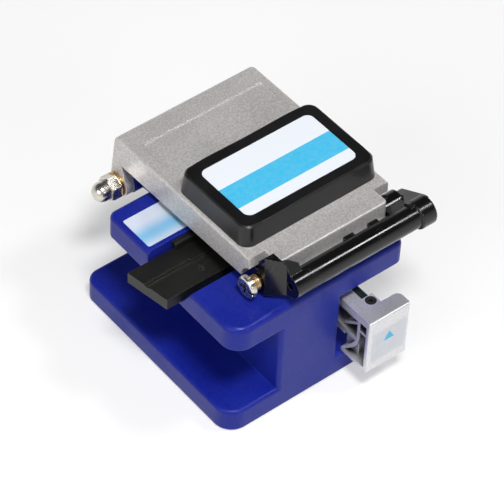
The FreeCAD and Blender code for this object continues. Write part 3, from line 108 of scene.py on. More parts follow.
def direction(azimuth: float, elevation: float) -> Vector:
    """Direction from the part towards a lamp or the camera.

    Args:
        azimuth: Turn about Z in degrees, from the front towards +X.
        elevation: Rise above the floor in degrees.

    Returns:
        The direction, one long.
    """
    turn, rise = math.radians(azimuth), math.radians(elevation)
    return Vector((math.sin(turn) * math.cos(rise), -math.cos(turn) * math.cos(rise), math.sin(rise)))


# ---------------------------------------------------------------- node trees
def tone(*display: float) -> Colour:
    """Turn a display colour into the linear colour that a socket takes.

    Args:
        display: Red, green and blue from 0 to 255.

    Returns:
        Linear red, green, blue and an opaque alpha.
    """
    shares = [value / 255.0 for value in display]
    linear = [share / 12.92 if share <= 0.04045 else ((share + 0.055) / 1.055) ** 2.4 for share in shares]
    return (*linear, 1.0)


class Bench:
    """Short calls that add and link the nodes of one tree."""

    def __init__(self, tree: bpy.types.NodeTree) -> None:
        """Work on one node tree, which starts empty."""
        self.tree = tree
        tree.nodes.clear()

    def fill(self, socket: Socket, value: Fill) -> None:
        """Give an input its value, or link an output into it.

        Args:
            socket: The input.
            value: A value, or another node's output.
        """
        if isinstance(value, Socket):
            self.tree.links.new(value, socket)
        else:
            socket.default_value = value

    def add(self, kind: str, inputs: dict | None = None, **settings: object) -> bpy.types.Node:
        """Add one node.

        Args:
            kind: The node's type name.
            inputs: What fills its inputs, by name or number.
            settings: The node's own properties.

        Returns:
            The new node.
        """
        node = self.tree.nodes.new(kind)
        for key, value in settings.items():
            setattr(node, key, value)
        for key, value in (inputs or {}).items():
            self.fill(node.inputs[key], value)
        return node

    def math(self, operation: str, *values: Fill, clamp: bool = True) -> Socket:
        """Add a Math node and return its result."""
        node = self.add("ShaderNodeMath", dict(enumerate(values)), operation=operation, use_clamp=clamp)
        return node.outputs[0]

    def blend(self, share: Fill, low: Fill, high: Fill) -> Socket:
        """Mix two colours by a share from 0 to 1 and return the result."""
        return self.add("ShaderNodeMix", {0: share, 6: low, 7: high}, data_type="RGBA").outputs[2]

    def span(self, value: Fill, low: Fill, high: Fill, out_low: Fill = 0.0, out_high: Fill = 1.0,
             straight: bool = False) -> Socket:
        """Map a value from one range to another.

        Args:
            value: The value.
            low: Start of its own range.
            high: End of its own range.
            out_low: Result at the start.
            out_high: Result at the end.
            straight: Whether it runs straight between them, and not smoothly.

        Returns:
            The result.
        """
        ramp = "LINEAR" if straight else "SMOOTHSTEP"
        inputs = {0: value, 1: low, 2: high, 3: out_low, 4: out_high}
        return self.add("ShaderNodeMapRange", inputs, interpolation_type=ramp).outputs[0]

    def noise(self, vector: Fill, scale: Fill, detail: float, roughness: float = 0.5) -> Socket:
        """Add a noise and return its value."""
        inputs = {"Vector": vector, "Scale": scale, "Detail": detail, "Roughness": roughness}
        return self.add("ShaderNodeTexNoise", inputs).outputs[0]

    def centred(self, vector: Fill, middle: Triple) -> Socket:
        """Count coordinates from a middle, and return them."""
        shift = tuple(-value for value in middle)
        return self.add("ShaderNodeMapping", {"Vector": vector, "Location": shift}).outputs[0]

    def squeezed(self, vector: Fill, scale: Triple) -> Socket:
        """Scale coordinates by three factors, and return them."""
        return self.add("ShaderNodeMapping", {"Vector": vector, "Scale": scale}).outputs[0]

    def effect(self, effect: "Effect", inputs: dict) -> bpy.types.Node:
        """Place a shared effect with its inputs filled in and return its node."""
        return self.add("ShaderNodeGroup", inputs, node_tree=effect.tree())


class Surface(Bench):
    """Bench of one material, with its shader and the coordinates of the piece that wears it."""

    def __init__(self, material: bpy.types.Material) -> None:
        """Start the material with a shader, its output and the piece's own coordinates.

        Args:
            material: The material.
        """
        material.use_nodes = True
        super().__init__(material.node_tree)
        self.shader = self.add("ShaderNodeBsdfPrincipled")
        self.add("ShaderNodeOutputMaterial", {"Surface": self.shader.outputs[0]})
        self.place = self.add("ShaderNodeTexCoord").outputs["Object"]

    def feed(self, name: str, value: Fill) -> None:
        """Fill one of the shader's inputs."""
        self.fill(self.shader.inputs[name], value)

    def grain(self, scale: float) -> bpy.types.Node:
        """Place the grain of a skin and return its node."""
        return self.effect(Effect.GRAIN, {"Vector": self.place, "Scale": scale})

    def relief(self, height: Fill, depth: float, rounding: float) -> None:
        """Feed the shader's normal from a height over softly rounded edges.

        Args:
            height: The height, from 0 to 1.
            depth: Depth of the relief in millimetres.
            rounding: Radius in millimetres that sharp edges are shaded with.
        """
        soft = self.add("ShaderNodeBevel", {"Radius": rounding * MM}, samples=BEVEL_SAMPLES).outputs[0]
        inputs = {"Height": height, "Distance": depth * MM, "Strength": 1.0, "Normal": soft}
        self.feed("Normal", self.add("ShaderNodeBump", inputs).outputs[0])

    def paint_hollow_shade(self, colour: Fill, hollow: float, hollow_shade: float) -> Socket:
        """Paint shade into a colour where the piece itself closes in, as in slots and pockets.

        Args:
            colour: The colour without painted shade.
            hollow: Width in millimetres of the hollows that get painted shade.
            hollow_shade: Share of painted shade in the deepest of them.

        Returns:
            The colour with painted shade in its hollows.
        """
        inputs = {"Distance": hollow * MM}
        clear = self.add("ShaderNodeAmbientOcclusion", inputs, only_local=True, samples=HOLLOW_SAMPLES)
        deep = self.span(clear.outputs["AO"], low=0.25, high=0.85, out_low=1.0, out_high=0.0)
        return self.blend(self.math("MULTIPLY", deep, hollow_shade), colour, PAINTED_SHADE)


class Effect(Enum):
    """Effects that several finishes share, each one node group."""

    # edges paler partly from rubbing and partly from a painted highlight
    EDGE_WEAR_AND_HIGHLIGHT = "edge_wear_and_highlight"
    GRAIN = "grain"
    CLOUD = "cloud"
    SCUFFS = "scuffs"
    BRUSHING = "brushing"

    def tree(self) -> bpy.types.NodeTree:
        """The effect's node group, built on its first use."""
        return bpy.data.node_groups.get(self.value) or EFFECT_BUILDERS[self]()


def new_group(effect: Effect, inputs: dict[str, float], outputs: list[str]) -> tuple[Bench, dict]:
    """Start a node group, which has a vector input for coordinates and these besides.

    Args:
        effect: Which effect it holds.
        inputs: Default values of its number inputs by name.
        outputs: Names of its number outputs.

    Returns:
        The bench that works on it, and its input sockets by name with the output node
        under the key "out".
    """
    tree = bpy.data.node_groups.new(effect.value, "ShaderNodeTree")
    tree.interface.new_socket("Vector", in_out="INPUT", socket_type="NodeSocketVector")
    for name, value in inputs.items():
        socket = tree.interface.new_socket(name, in_out="INPUT", socket_type="NodeSocketFloat")
        socket.default_value = value
    for name in outputs:
        tree.interface.new_socket(name, in_out="OUTPUT", socket_type="NodeSocketFloat")
    bench = Bench(tree)
    source = bench.add("NodeGroupInput")
    sockets = {name: source.outputs[name] for name in ("Vector", *inputs)}
    sockets["out"] = bench.add("NodeGroupOutput")
    return bench, sockets


def build_edge_wear_and_highlight() -> bpy.types.NodeTree:
    """Mask that is bright along convex edges, broken up by noise; it marks edges paler from rubbing and with
    a painted highlight.

    Returns:
        The node group.
    """
    bench, io = new_group(Effect.EDGE_WEAR_AND_HIGHLIGHT, {"Width": 0.0004, "Breakup": 900.0, "Gain": 3.0}, ["Mask"])
    soft = bench.add("ShaderNodeBevel", {"Radius": io["Width"]}, samples=BEVEL_SAMPLES).outputs[0]
    true = bench.add("ShaderNodeNewGeometry").outputs["Normal"]
    match = bench.add("ShaderNodeVectorMath", {0: soft, 1: true}, operation="DOT_PRODUCT").outputs["Value"]
    edge = bench.math("SUBTRACT", 1.0, match)
    noise = bench.noise(io["Vector"], io["Breakup"], detail=3.0)
    broken = bench.span(noise, low=0.35, high=0.65, out_low=0.25)
    worn_and_lit = bench.math("MULTIPLY", edge, io["Gain"], clamp=False)
    bench.fill(io["out"].inputs["Mask"], bench.math("MULTIPLY", worn_and_lit, broken))
    return bench.tree


def build_grain() -> bpy.types.NodeTree:
    """Fine grain of a blasted or sand-cast skin: a height and a tone.

    Returns:
        The node group.
    """
    bench, io = new_group(Effect.GRAIN, {"Scale": 2500.0}, ["Height", "Tone"])
    fine = bench.noise(io["Vector"], io["Scale"], detail=4.0, roughness=0.6)
    inputs = {"Vector": io["Vector"], "Scale": io["Scale"]}
    cells = bench.add("ShaderNodeTexVoronoi", inputs, feature="SMOOTH_F1").outputs["Distance"]
    height = bench.math("ADD", bench.math("MULTIPLY", fine, 0.6), bench.math("MULTIPLY", cells, 0.4))
    bench.fill(io["out"].inputs["Height"], height)
    bench.fill(io["out"].inputs["Tone"], bench.span(fine, 0.3, 0.7))
    return bench.tree


def build_cloud() -> bpy.types.NodeTree:
    """Broad soft patches, for handling marks and uneven gloss.

    Returns:
        The node group.
    """
    bench, io = new_group(Effect.CLOUD, {"Scale": 60.0, "Low": 0.0, "High": 1.0}, ["Value"])
    share = bench.span(bench.noise(io["Vector"], io["Scale"], detail=5.0), 0.35, 0.65)
    wide = bench.math("SUBTRACT", io["High"], io["Low"], clamp=False)
    value = bench.math("MULTIPLY_ADD", share, wide, io["Low"], clamp=False)
    bench.fill(io["out"].inputs["Value"], value)
    return bench.tree


def build_scuffs() -> bpy.types.NodeTree:
    """Sparse fine scratches in patches.

    Returns:
        The node group.
    """
    bench, io = new_group(Effect.SCUFFS, {"Scale": 220.0, "Amount": 0.5}, ["Mask"])
    inputs = {"Vector": bench.squeezed(io["Vector"], (0.35, 1.0, 1.6)), "Scale": io["Scale"]}
    lines = bench.add("ShaderNodeTexVoronoi", inputs, feature="DISTANCE_TO_EDGE").outputs["Distance"]
    thin = bench.span(lines, 0.0, 0.02, out_low=1.0, out_high=0.0)
    patches = bench.span(bench.noise(io["Vector"], scale=130.0, detail=2.0), 0.5, 0.7)
    mask = bench.math("MULTIPLY", bench.math("MULTIPLY", thin, patches), io["Amount"])
    bench.fill(io["out"].inputs["Mask"], mask)
    return bench.tree


def build_brushing() -> bpy.types.NodeTree:
    """Fine parallel tool marks; the caller squeezes the coordinates across them.

    Returns:
        The node group.
    """
    bench, io = new_group(Effect.BRUSHING, {"Scale": 400.0}, ["Height", "Tone"])
    lines = bench.noise(io["Vector"], io["Scale"], detail=6.0, roughness=0.7)
    bench.fill(io["out"].inputs["Height"], lines)
    bench.fill(io["out"].inputs["Tone"], bench.span(lines, 0.35, 0.65))
    return bench.tree


EFFECT_BUILDERS = {
    Effect.EDGE_WEAR_AND_HIGHLIGHT: build_edge_wear_and_highlight,
    Effect.GRAIN: build_grain,
    Effect.CLOUD: build_cloud,
    Effect.SCUFFS: build_scuffs,
    Effect.BRUSHING: build_brushing,
}


# ---------------------------------------------------------------- finishes
@dataclass(frozen=True)
class WearAndHighlight:
    """Paler edges, partly from rubbing and partly a painted highlight: their width, how finely they break up,
    and how strong they are.
    """

    width: float
    breakup: float
    gain: float

    def mask(self, surface: Surface) -> Socket:
        """Mask that is bright along edges, where they are rubbed and carry a painted highlight.

        Args:
            surface: The surface that it is on.

        Returns:
            The mask.
        """
        width = self.width * MM
        inputs = {"Vector": surface.place, "Width": width, "Breakup": self.breakup, "Gain": self.gain}
        return surface.effect(Effect.EDGE_WEAR_AND_HIGHLIGHT, inputs).outputs[0]


@dataclass(frozen=True)
class Patches:
    """Broad soft patches: how fine they are, and the values that they vary between."""

    scale: float
    low: float = 0.0
    high: float = 1.0

    @classmethod
    def of_gloss(cls, roughness: float, scale: float) -> "Patches":
        """Patches of a roughness that strays a little from its middle."""
        return cls(scale, roughness - SMOOTHER, roughness + ROUGHER)

    def value(self, surface: Surface) -> Socket:
        """Value that varies in patches over the surface."""
        inputs = {"Vector": surface.place, "Scale": self.scale, "Low": self.low, "High": self.high}
        return surface.effect(Effect.CLOUD, inputs).outputs[0]


@dataclass(frozen=True)
class Scuffs:
    """Fine scratches: how close they lie, and how strong they are."""

    scale: float
    amount: float

    def mask(self, surface: Surface) -> Socket:
        """Mask that is bright on the scratches."""
        inputs = {"Vector": surface.place, "Scale": self.scale, "Amount": self.amount}
        return surface.effect(Effect.SCUFFS, inputs).outputs[0]


@dataclass(frozen=True)
class Finish:
    """What every finish has: a name, and a material that is built once."""

    name: str

    def material(self) -> bpy.types.Material:
        """The finish as a material, built on its first use.

        Returns:
            The material.
        """
        found = bpy.data.materials.get(self.name)
        if found:
            return found
        made = bpy.data.materials.new(self.name)
        self.paint(Surface(made))
        return made

    def paint(self, surface: Surface) -> None:
        """Feed the surface's shader; each kind of finish does it in its own way."""
        raise NotImplementedError


@dataclass(frozen=True)
class Paint(Finish):
    """Sprayed paint on a casting, with orange peel, and edges paler partly from rubbing and partly from a
    painted highlight.
    """

    colour: Colour
    # pale blue of tone patches, specks and edges; on the edges it is partly rubbing and partly a painted
    # highlight
    worn_and_lit: Colour
    roughness: float = 0.34
    gloss_scale: float = 90.0
    shine: float = 0.22
    peel: float = 1100.0
    peel_depth: float = 0.04
    peel_tint: float = 0.07
    rounding: float = 0.3
    edge: float = 0.6
    wear_and_highlight: WearAndHighlight = WearAndHighlight(width=0.6, breakup=700.0, gain=2.2)
    tint: Patches = Patches(scale=45.0, high=0.07)
    specks: Scuffs = Scuffs(scale=150.0, amount=0.12)

    def paint(self, surface: Surface) -> None:
        """Coat that is paler along its edges, partly from rubbing and partly as a painted highlight, with
        uneven gloss.

        Args:
            surface: The surface to feed.
        """
        peel = surface.grain(self.peel)
        flecks = surface.math("MULTIPLY", peel.outputs["Tone"], self.peel_tint)
        faded = surface.math("ADD", self.tint.value(surface), flecks)
        faded = surface.math("MAXIMUM", faded, self.specks.mask(surface))
        body = surface.blend(faded, self.colour, self.worn_and_lit)
        # edges paler from rubbing and from a painted highlight
        rubbed_and_lit = surface.math("MULTIPLY", self.wear_and_highlight.mask(surface), self.edge)
        surface.feed("Base Color", surface.blend(rubbed_and_lit, body, self.worn_and_lit))
        surface.feed("Specular IOR Level", self.shine)
        surface.feed("Roughness", Patches.of_gloss(self.roughness, self.gloss_scale).value(surface))
        surface.relief(peel.outputs["Height"], self.peel_depth, self.rounding)


@dataclass(frozen=True)
class CastMetal(Finish):
    """Blasted casting with a fine sparkling grain, polished edges with a painted highlight, and painted shade
    in its pockets.
    """

    colour: Colour
    dark: Colour
    metallic: float
    roughness: float
    depth: float
    # share of painted shade in the pockets, and the width of the hollows that it fills
    hollow_shade: float = 0.3
    hollow: float = 3.0
    grain: float = 1900.0
    gloss_scale: float = 70.0
    rounding: float = 0.2
    # strength and brightness of the bright edges, partly polish and partly a painted highlight
    edge: float = 0.8
    edge_bright: float = 1.4
    edge_polish: float = 0.15
    wear_and_highlight: WearAndHighlight = WearAndHighlight(width=0.4, breakup=1200.0, gain=3.0)

    def paint(self, surface: Surface) -> None:
        """Grey skin whose grain varies in tone, with painted shade in its pockets, and brighter and smoother
        on its edges, where the brightness is partly polish and partly a painted highlight.

        Args:
            surface: The surface to feed.
        """
        grain = surface.grain(self.grain)
        rubbed_and_lit = self.wear_and_highlight.mask(surface)
        plain = surface.blend(grain.outputs["Tone"], self.dark, self.colour)
        # painted shade darkens the pockets
        skin = surface.paint_hollow_shade(plain, self.hollow, self.hollow_shade)
        # brighter edges: partly polish from rubbing, partly a painted highlight
        bright = tuple(min(1.0, value * self.edge_bright) for value in self.colour)
        share = surface.math("MULTIPLY", rubbed_and_lit, self.edge)
        surface.feed("Base Color", surface.blend(share, skin, bright))
        surface.feed("Metallic", self.metallic)
        matt = Patches.of_gloss(self.roughness, self.gloss_scale).value(surface)
        polish = surface.math("MULTIPLY", rubbed_and_lit, self.edge_polish)
        surface.feed("Roughness", surface.math("SUBTRACT", matt, polish))
        surface.relief(grain.outputs["Height"], self.depth, self.rounding)


@dataclass(frozen=True)
class LabelledCast(CastMetal):
    """Casting whose flat front wears a smooth label with a plain triangle on it.

    The label is a rounded rectangle, and the triangle stands on its foot above the
    label's middle. Their edges fade over the soft width.
    """

    label: Colour = WHITE
    ink: Colour = WHITE
    middle: Triple = (0.0, 0.0, 0.0)
    half_width: float = 6.3
    half_height: float = 6.0
    corner: float = 0.8
    arrow_half: float = 2.1
    arrow_foot: float = 0.6
    arrow_tip: float = 4.1
    soft: float = 0.04
    label_metallic: float = 0.1
    print_wear: Patches = Patches(scale=260.0, high=0.3)

    def paint(self, surface: Surface) -> None:
        """Casting first, then the label and its triangle over it.

        Args:
            surface: The surface to feed.
        """
        super().paint(surface)
        offset = surface.centred(surface.place, self.middle)
        across, depth, up = surface.add("ShaderNodeSeparateXYZ", {0: offset}).outputs
        label = self.label_mask(surface, across, depth, up)
        arrow = surface.math("MULTIPLY", label, self.arrow_mask(surface, across, up))
        ground = surface.blend(self.print_wear.value(surface), self.label, self.colour)
        printed = surface.blend(arrow, ground, self.ink)
        cast = surface.shader.inputs["Base Color"].links[0].from_socket
        surface.feed("Base Color", surface.blend(label, cast, printed))
        metal = surface.span(label, 0.0, 1.0, out_low=self.metallic, out_high=self.label_metallic)
        surface.feed("Metallic", metal)
        bump = surface.shader.inputs["Normal"].links[0].from_node
        grain = bump.inputs["Height"].links[0].from_socket
        bare = surface.math("MULTIPLY", grain, surface.math("SUBTRACT", 1.0, label))
        surface.fill(bump.inputs["Height"], surface.math("ADD", bare, label))

    def label_mask(self, surface: Surface, across: Socket, depth: Socket, up: Socket) -> Socket:
        """Mask of the label's rounded rectangle on the flat front.

        Args:
            surface: The surface that it is on.
            across: Distance from the label's middle along X.
            depth: Distance behind the flat front.
            up: Distance from the label's middle along Z.

        Returns:
            The mask.
        """
        soft, corner = self.soft * MM, self.corner * MM
        out_x = surface.math("SUBTRACT", surface.math("ABSOLUTE", across), self.half_width * MM - corner)
        out_z = surface.math("SUBTRACT", surface.math("ABSOLUTE", up), self.half_height * MM - corner)
        away = surface.add("ShaderNodeCombineXYZ", {0: out_x, 1: out_z}).outputs[0]
        reach = surface.add("ShaderNodeVectorMath", {0: away}, operation="LENGTH").outputs["Value"]
        inside = surface.span(reach, corner - soft, corner + soft, out_low=1.0, out_high=0.0)
        front = surface.span(depth, soft, 2 * soft, out_low=1.0, out_high=0.0)
        return surface.math("MULTIPLY", inside, front)

    def arrow_mask(self, surface: Surface, across: Socket, up: Socket) -> Socket:
        """Mask of the triangle, point up.

        Args:
            surface: The surface that it is on.
            across: Distance from the label's middle along X.
            up: Distance from the label's middle along Z.

        Returns:
            The mask.
        """
        soft, foot, tip = self.soft * MM, self.arrow_foot * MM, self.arrow_tip * MM
        half = surface.span(up, foot, tip, out_low=self.arrow_half * MM, out_high=0.0, straight=True)
        side = surface.math("SUBTRACT", half, surface.math("ABSOLUTE", across), clamp=False)
        inside = surface.span(side, 0.0, 2 * soft)
        return surface.math("MULTIPLY", inside, surface.span(up, foot - soft, foot + soft))


@dataclass(frozen=True)
class Moulded(Finish):
    """Moulded or anodised dark skin with fine grain, scuffs and paler edges, partly from rubbing and partly a
    painted highlight.
    """

    colour: Colour
    # paler colour of scuffs and edges; on the edges it is partly rubbing and partly a painted highlight
    worn_and_lit: Colour
    roughness: float
    edge: float = 0.3
    scuffs: float = 0.25
    scuff_scale: float = 420.0
    gloss_scale: float = 80.0
    rubbed_matt: float = 0.2
    grain: float = 4000.0
    depth: float = 0.01
    rounding: float = 0.2
    wear_and_highlight: WearAndHighlight = WearAndHighlight(width=0.3, breakup=1500.0, gain=2.0)

    def paint(self, surface: Surface) -> None:
        """Dark skin with handling marks, and edges paler from rubbing and from a painted highlight.

        Args:
            surface: The surface to feed.
        """
        # edges paler from rubbing and from a painted highlight
        rubbed_and_lit = surface.math("MULTIPLY", self.wear_and_highlight.mask(surface), self.edge)
        marks = surface.math("MAXIMUM", rubbed_and_lit, Scuffs(self.scuff_scale, self.scuffs).mask(surface))
        surface.feed("Base Color", surface.blend(marks, self.colour, self.worn_and_lit))
        matt = Patches.of_gloss(self.roughness, self.gloss_scale).value(surface)
        duller = surface.math("MULTIPLY", marks, self.rubbed_matt)
        surface.feed("Roughness", surface.math("ADD", matt, duller))
        surface.relief(surface.grain(self.grain).outputs["Height"], self.depth, self.rounding)


@dataclass(frozen=True)
class Turned(Finish):
    """Bright machined or plated metal with tool marks and painted shade in its slots."""

    colour: Colour
    stained: Colour
    roughness: float = 0.22
    marks: float = 500.0
    squeeze: Triple = (1.0, 8.0, 8.0)
    depth: float = 0.006
    rounding: float = 0.15
    # width of the hollows that get painted shade, and the share of it
    hollow: float = 1.2
    hollow_shade: float = 0.9
    smoother: float = 0.06
    rougher: float = 0.1
    stain: Patches = Patches(scale=250.0, high=0.5)

    def paint(self, surface: Surface) -> None:
        """Metal with tool marks across one direction, a faint stain and painted shade in its hollows.

        Args:
            surface: The surface to feed.
        """
        squeezed = surface.squeezed(surface.place, self.squeeze)
        brush = surface.effect(Effect.BRUSHING, {"Vector": squeezed, "Scale": self.marks})
        bright = surface.blend(self.stain.value(surface), self.colour, self.stained)
        # painted shade darkens the slots and hollows
        surface.feed("Base Color", surface.paint_hollow_shade(bright, self.hollow, self.hollow_shade))
        surface.feed("Metallic", 1.0)
        low, high = self.roughness - self.smoother, self.roughness + self.rougher
        surface.feed("Roughness", surface.span(brush.outputs["Tone"], 0.0, 1.0, out_low=low, out_high=high))
        surface.relief(brush.outputs["Height"], self.depth, self.rounding)


@dataclass(frozen=True)
class Rubber(Finish):
    """Matte rubber, or ink, with a fine cellular skin."""

    colour: Colour
    dusty: Colour
    grain: float = 1800.0
    depth: float = 0.03
    rounding: float = 0.15
    smoothest: float = 0.62
    roughest: float = 0.85
    dust: Patches = Patches(scale=160.0, high=0.35)

    def paint(self, surface: Surface) -> None:
        """Matte skin with a little dust.

        Args:
            surface: The surface to feed.
        """
        grain = surface.grain(self.grain)
        surface.feed("Base Color", surface.blend(self.dust.value(surface), self.colour, self.dusty))
        matt = surface.span(grain.outputs["Tone"], 0.0, 1.0, out_low=self.smoothest, out_high=self.roughest)
        surface.feed("Roughness", matt)
        surface.relief(grain.outputs["Height"], self.depth, self.rounding)


@dataclass(frozen=True)
class Film(Finish):
    """Printed film of a label: a ground colour with one band or fade across it.

    The band runs across one direction of the piece, between two distances from a
    centre, and its edges fade over the soft width.
    """

    ground: Colour
    ink: Colour
    centre: Triple
    across: Axis
    band_low: float
    band_high: float
    soft: float = 0.02
    roughness: float = 0.35
    gloss_scale: float = 120.0
    ripple_depth: float = 0.01
    rounding: float = 0.1
    mottle: Patches = Patches(scale=700.0, low=0.94)
    ripple: Patches = Patches(scale=180.0)

    def paint(self, surface: Surface) -> None:
        """Ground and band under a thin clear film.

        Args:
            surface: The surface to feed.
        """
        centred = surface.centred(surface.place, self.centre)
        along = {0: centred, 1: self.across.value}
        reach = surface.add("ShaderNodeVectorMath", along, operation="DOT_PRODUCT").outputs["Value"]
        low, high, soft = self.band_low * MM, self.band_high * MM, self.soft * MM
        rise = surface.span(reach, low - soft, low + soft)
        fall = surface.span(reach, high - soft, high + soft, out_low=1.0, out_high=0.0)
        band = surface.math("MULTIPLY", rise, fall)
        inked = surface.math("MULTIPLY", band, self.mottle.value(surface))
        surface.feed("Base Color", surface.blend(inked, self.ground, self.ink))
        surface.feed("Roughness", Patches.of_gloss(self.roughness, self.gloss_scale).value(surface))
        surface.relief(self.ripple.value(surface), self.ripple_depth, self.rounding)


# colour of the painted shade that darkens hollows
PAINTED_SHADE = tone(22, 22, 26)
# the second colour of a Paint or Moulded finish also pales its edges, partly as rubbing and partly as a
# painted highlight
BLUE_PAINT = Paint("blue_paint", tone(19, 31, 136), tone(70, 92, 205))
SILVER_CAST = CastMetal(
    "silver_casting", tone(224, 221, 219), tone(190, 187, 185), metallic=0.45, roughness=0.46, depth=0.06
)
# the bright casting carries strong painted shade in its wide pockets
BRIGHT_CAST = CastMetal(
    "bright_casting", tone(232, 231, 232), tone(214, 214, 218), metallic=0.7, roughness=0.36, depth=0.02,
    hollow_shade=0.95, hollow=4.5
)
# edge sets how strongly the edges are paler, partly rubbing and partly a painted highlight
BLACK_COVER = Moulded("black_cover", tone(15, 15, 17), tone(90, 88, 92), roughness=0.34, edge=0.6, scuffs=0.1)
BLACK_HOLDER = Moulded(
    "black_holder", tone(19, 19, 17), tone(120, 116, 92), roughness=0.46, edge=0.6, scuffs=0.22
)
BLACK_LEVER = Moulded("black_lever_finish", tone(11, 11, 12), tone(190, 190, 192), roughness=0.14, scuffs=0.1)
BLACK_STRIP = Moulded("black_anodised_strip", tone(24, 32, 30), tone(100, 116, 108), roughness=0.4, edge=0.5)
DARK_STEEL = Moulded("blackened_steel", tone(30, 30, 32), tone(140, 136, 130), roughness=0.35, edge=0.6)
GREEN_CAP = Moulded("end_cap_plastic", tone(28, 62, 50), tone(90, 120, 105), roughness=0.45)
STEEL = Turned("turned_steel", tone(190, 190, 192), tone(165, 163, 160))
NICKEL = Turned("bright_nickel", tone(226, 222, 215), tone(184, 176, 164), roughness=0.24)
BRASS = Turned("plated_brass", tone(228, 196, 146), tone(188, 142, 92), roughness=0.3)
WIRE = Turned("spring_wire", tone(170, 170, 172), tone(132, 128, 122), roughness=0.28)
CARBIDE = Turned("hard_metal", tone(150, 152, 158), tone(128, 130, 136), roughness=0.14, marks=900.0)
RUBBER = Rubber("black_rubber", tone(34, 34, 36), tone(70, 70, 72))
MARKING = Rubber("marking_ink", tone(24, 24, 26), tone(52, 52, 54))


# ---------------------------------------------------------------- mesh helpers
def piece_from(name: str, mesh: BMesh, finish: Finish, body: Body) -> bpy.types.Object:
    """Turn a finished bmesh into a piece that rides on a body.

    Args:
        name: The piece's name.
        mesh: Its mesh, with its place in it; it is freed here.
        finish: Its finish.
        body: The body that it moves with.

    Returns:
        The new object.
    """
    bmesh.ops.remove_doubles(mesh, verts=mesh.verts[:], dist=WELD * MM)
    bmesh.ops.holes_fill(mesh, edges=[edge for edge in mesh.edges if edge.is_boundary])
    bmesh.ops.recalc_face_normals(mesh, faces=mesh.faces[:])
    data = bpy.data.meshes.new(name)
    mesh.to_mesh(data)
    mesh.free()
    data.materials.append(finish.material())
    data.shade_smooth()
    data.set_sharp_from_angle(angle=math.radians(SMOOTH_ANGLE))
    piece = bpy.data.objects.new(name, data)
    bpy.context.scene.collection.objects.link(piece)
    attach(piece, body.value)
    LOG.info("piece %s on %s, %d faces", name, body.value, len(data.polygons))
    return piece


def dress(finish: Finish, *nodes: str) -> None:
    """Give CAD pieces a finish.

    Args:
        finish: The finish.
        nodes: Names of the CAD nodes.
    """
    for name in nodes:
        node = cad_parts[name]
        node.data.materials.clear()
        node.data.materials.append(finish.material())
        LOG.info("finish %s on %s", finish.name, name)


def corners_of(node: str) -> list[Vector]:
    """All corners of a CAD piece, in millimetres."""
    return [vertex.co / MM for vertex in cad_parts[node].data.vertices]


def box_of(node: str) -> tuple[Vector, Vector]:
    """Lowest and highest corner of a CAD piece, in millimetres."""
    low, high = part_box(node)
    return low / MM, high / MM


def widest_flat(node: str, toward: Vector) -> tuple[Vector, Vector, list[list[Vector]]]:
    """Find the widest flat face of a CAD piece that faces one way.

    Args:
        node: The CAD node.
        toward: Rough direction that the face looks.

    Returns:
        The face's normal, its area-weighted centre, and its triangles' corners.
    """
    planes: dict[tuple, list] = {}
    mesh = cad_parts[node].data
    for polygon in mesh.polygons:
        if polygon.normal.dot(toward) < FACING:
            continue
        offset = polygon.normal.dot(polygon.center)
        key = (round(polygon.normal.y, 3), round(polygon.normal.z, 3), round(offset / (PLANE_STEP * MM)))
        planes.setdefault(key, []).append(polygon)
    faces = max(planes.values(), key=lambda group: sum(face.area for face in group))
    area = sum(face.area for face in faces)
    centre = sum((face.center * face.area for face in faces), Vector()) / area
    corners = [[mesh.vertices[index].co.copy() for index in face.vertices] for face in faces]
    return faces[0].normal.copy(), centre, corners


def film_on(corners: list[list[Vector]], normal: Vector, gap: float, thickness: float) -> BMesh:
    """Build a thin film over a flat face, a little inside its outline.

    Args:
        corners: Corners of the face's triangles.
        normal: The face's normal.
        gap: Distance inside its outline, in millimetres.
        thickness: Thickness of the film, in millimetres.

    Returns:
        The film's mesh, in metres.
    """
    mesh = bmesh.new()
    for triangle in corners:
        mesh.faces.new([mesh.verts.new(point) for point in triangle])
    bmesh.ops.remove_doubles(mesh, verts=mesh.verts[:], dist=WELD * MM)
    bmesh.ops.dissolve_limit(mesh, angle_limit=FLAT_ANGLE, verts=mesh.verts[:], edges=mesh.edges[:])
    bmesh.ops.inset_region(
        mesh, faces=mesh.faces[:], thickness=gap * MM, use_boundary=True, use_even_offset=True
    )
    rim = [face for face in mesh.faces if any(edge.is_boundary for edge in face.edges)]
    bmesh.ops.delete(mesh, geom=rim, context="FACES")
    grown = bmesh.ops.extrude_face_region(mesh, geom=mesh.faces[:])
    lifted = [item for item in grown["geom"] if isinstance(item, bmesh.types.BMVert)]
    bmesh.ops.translate(mesh, verts=lifted, vec=normal * thickness * MM)
    return mesh


def plate(low: Vector, high: Vector, thin: Axis, radius: float) -> BMesh:
    """Build a flat plate with round corners.

    Args:
        low: Its lowest corner in millimetres.
        high: Its highest corner in millimetres.
        thin: Direction of its thickness.
        radius: Radius of its corners in millimetres.

    Returns:
        The plate's mesh, in metres.
    """
    mesh = bmesh.new()
    size = (high - low) * MM
    bmesh.ops.create_cube(mesh, size=1.0, matrix=Matrix.LocRotScale((low + high) * MM / 2, None, size))
    depth = abs(size.dot(thin.vector))
    runs = [(edge, edge.verts[0].co - edge.verts[1].co) for edge in mesh.edges]
    across = [edge for edge, run in runs if abs(thin.vector.dot(run)) > depth / 2]
    bmesh.ops.bevel(
        mesh, geom=across, offset=radius * MM, segments=CORNER_STEPS, profile=0.5, affect="EDGES", material=-1
    )
    return mesh


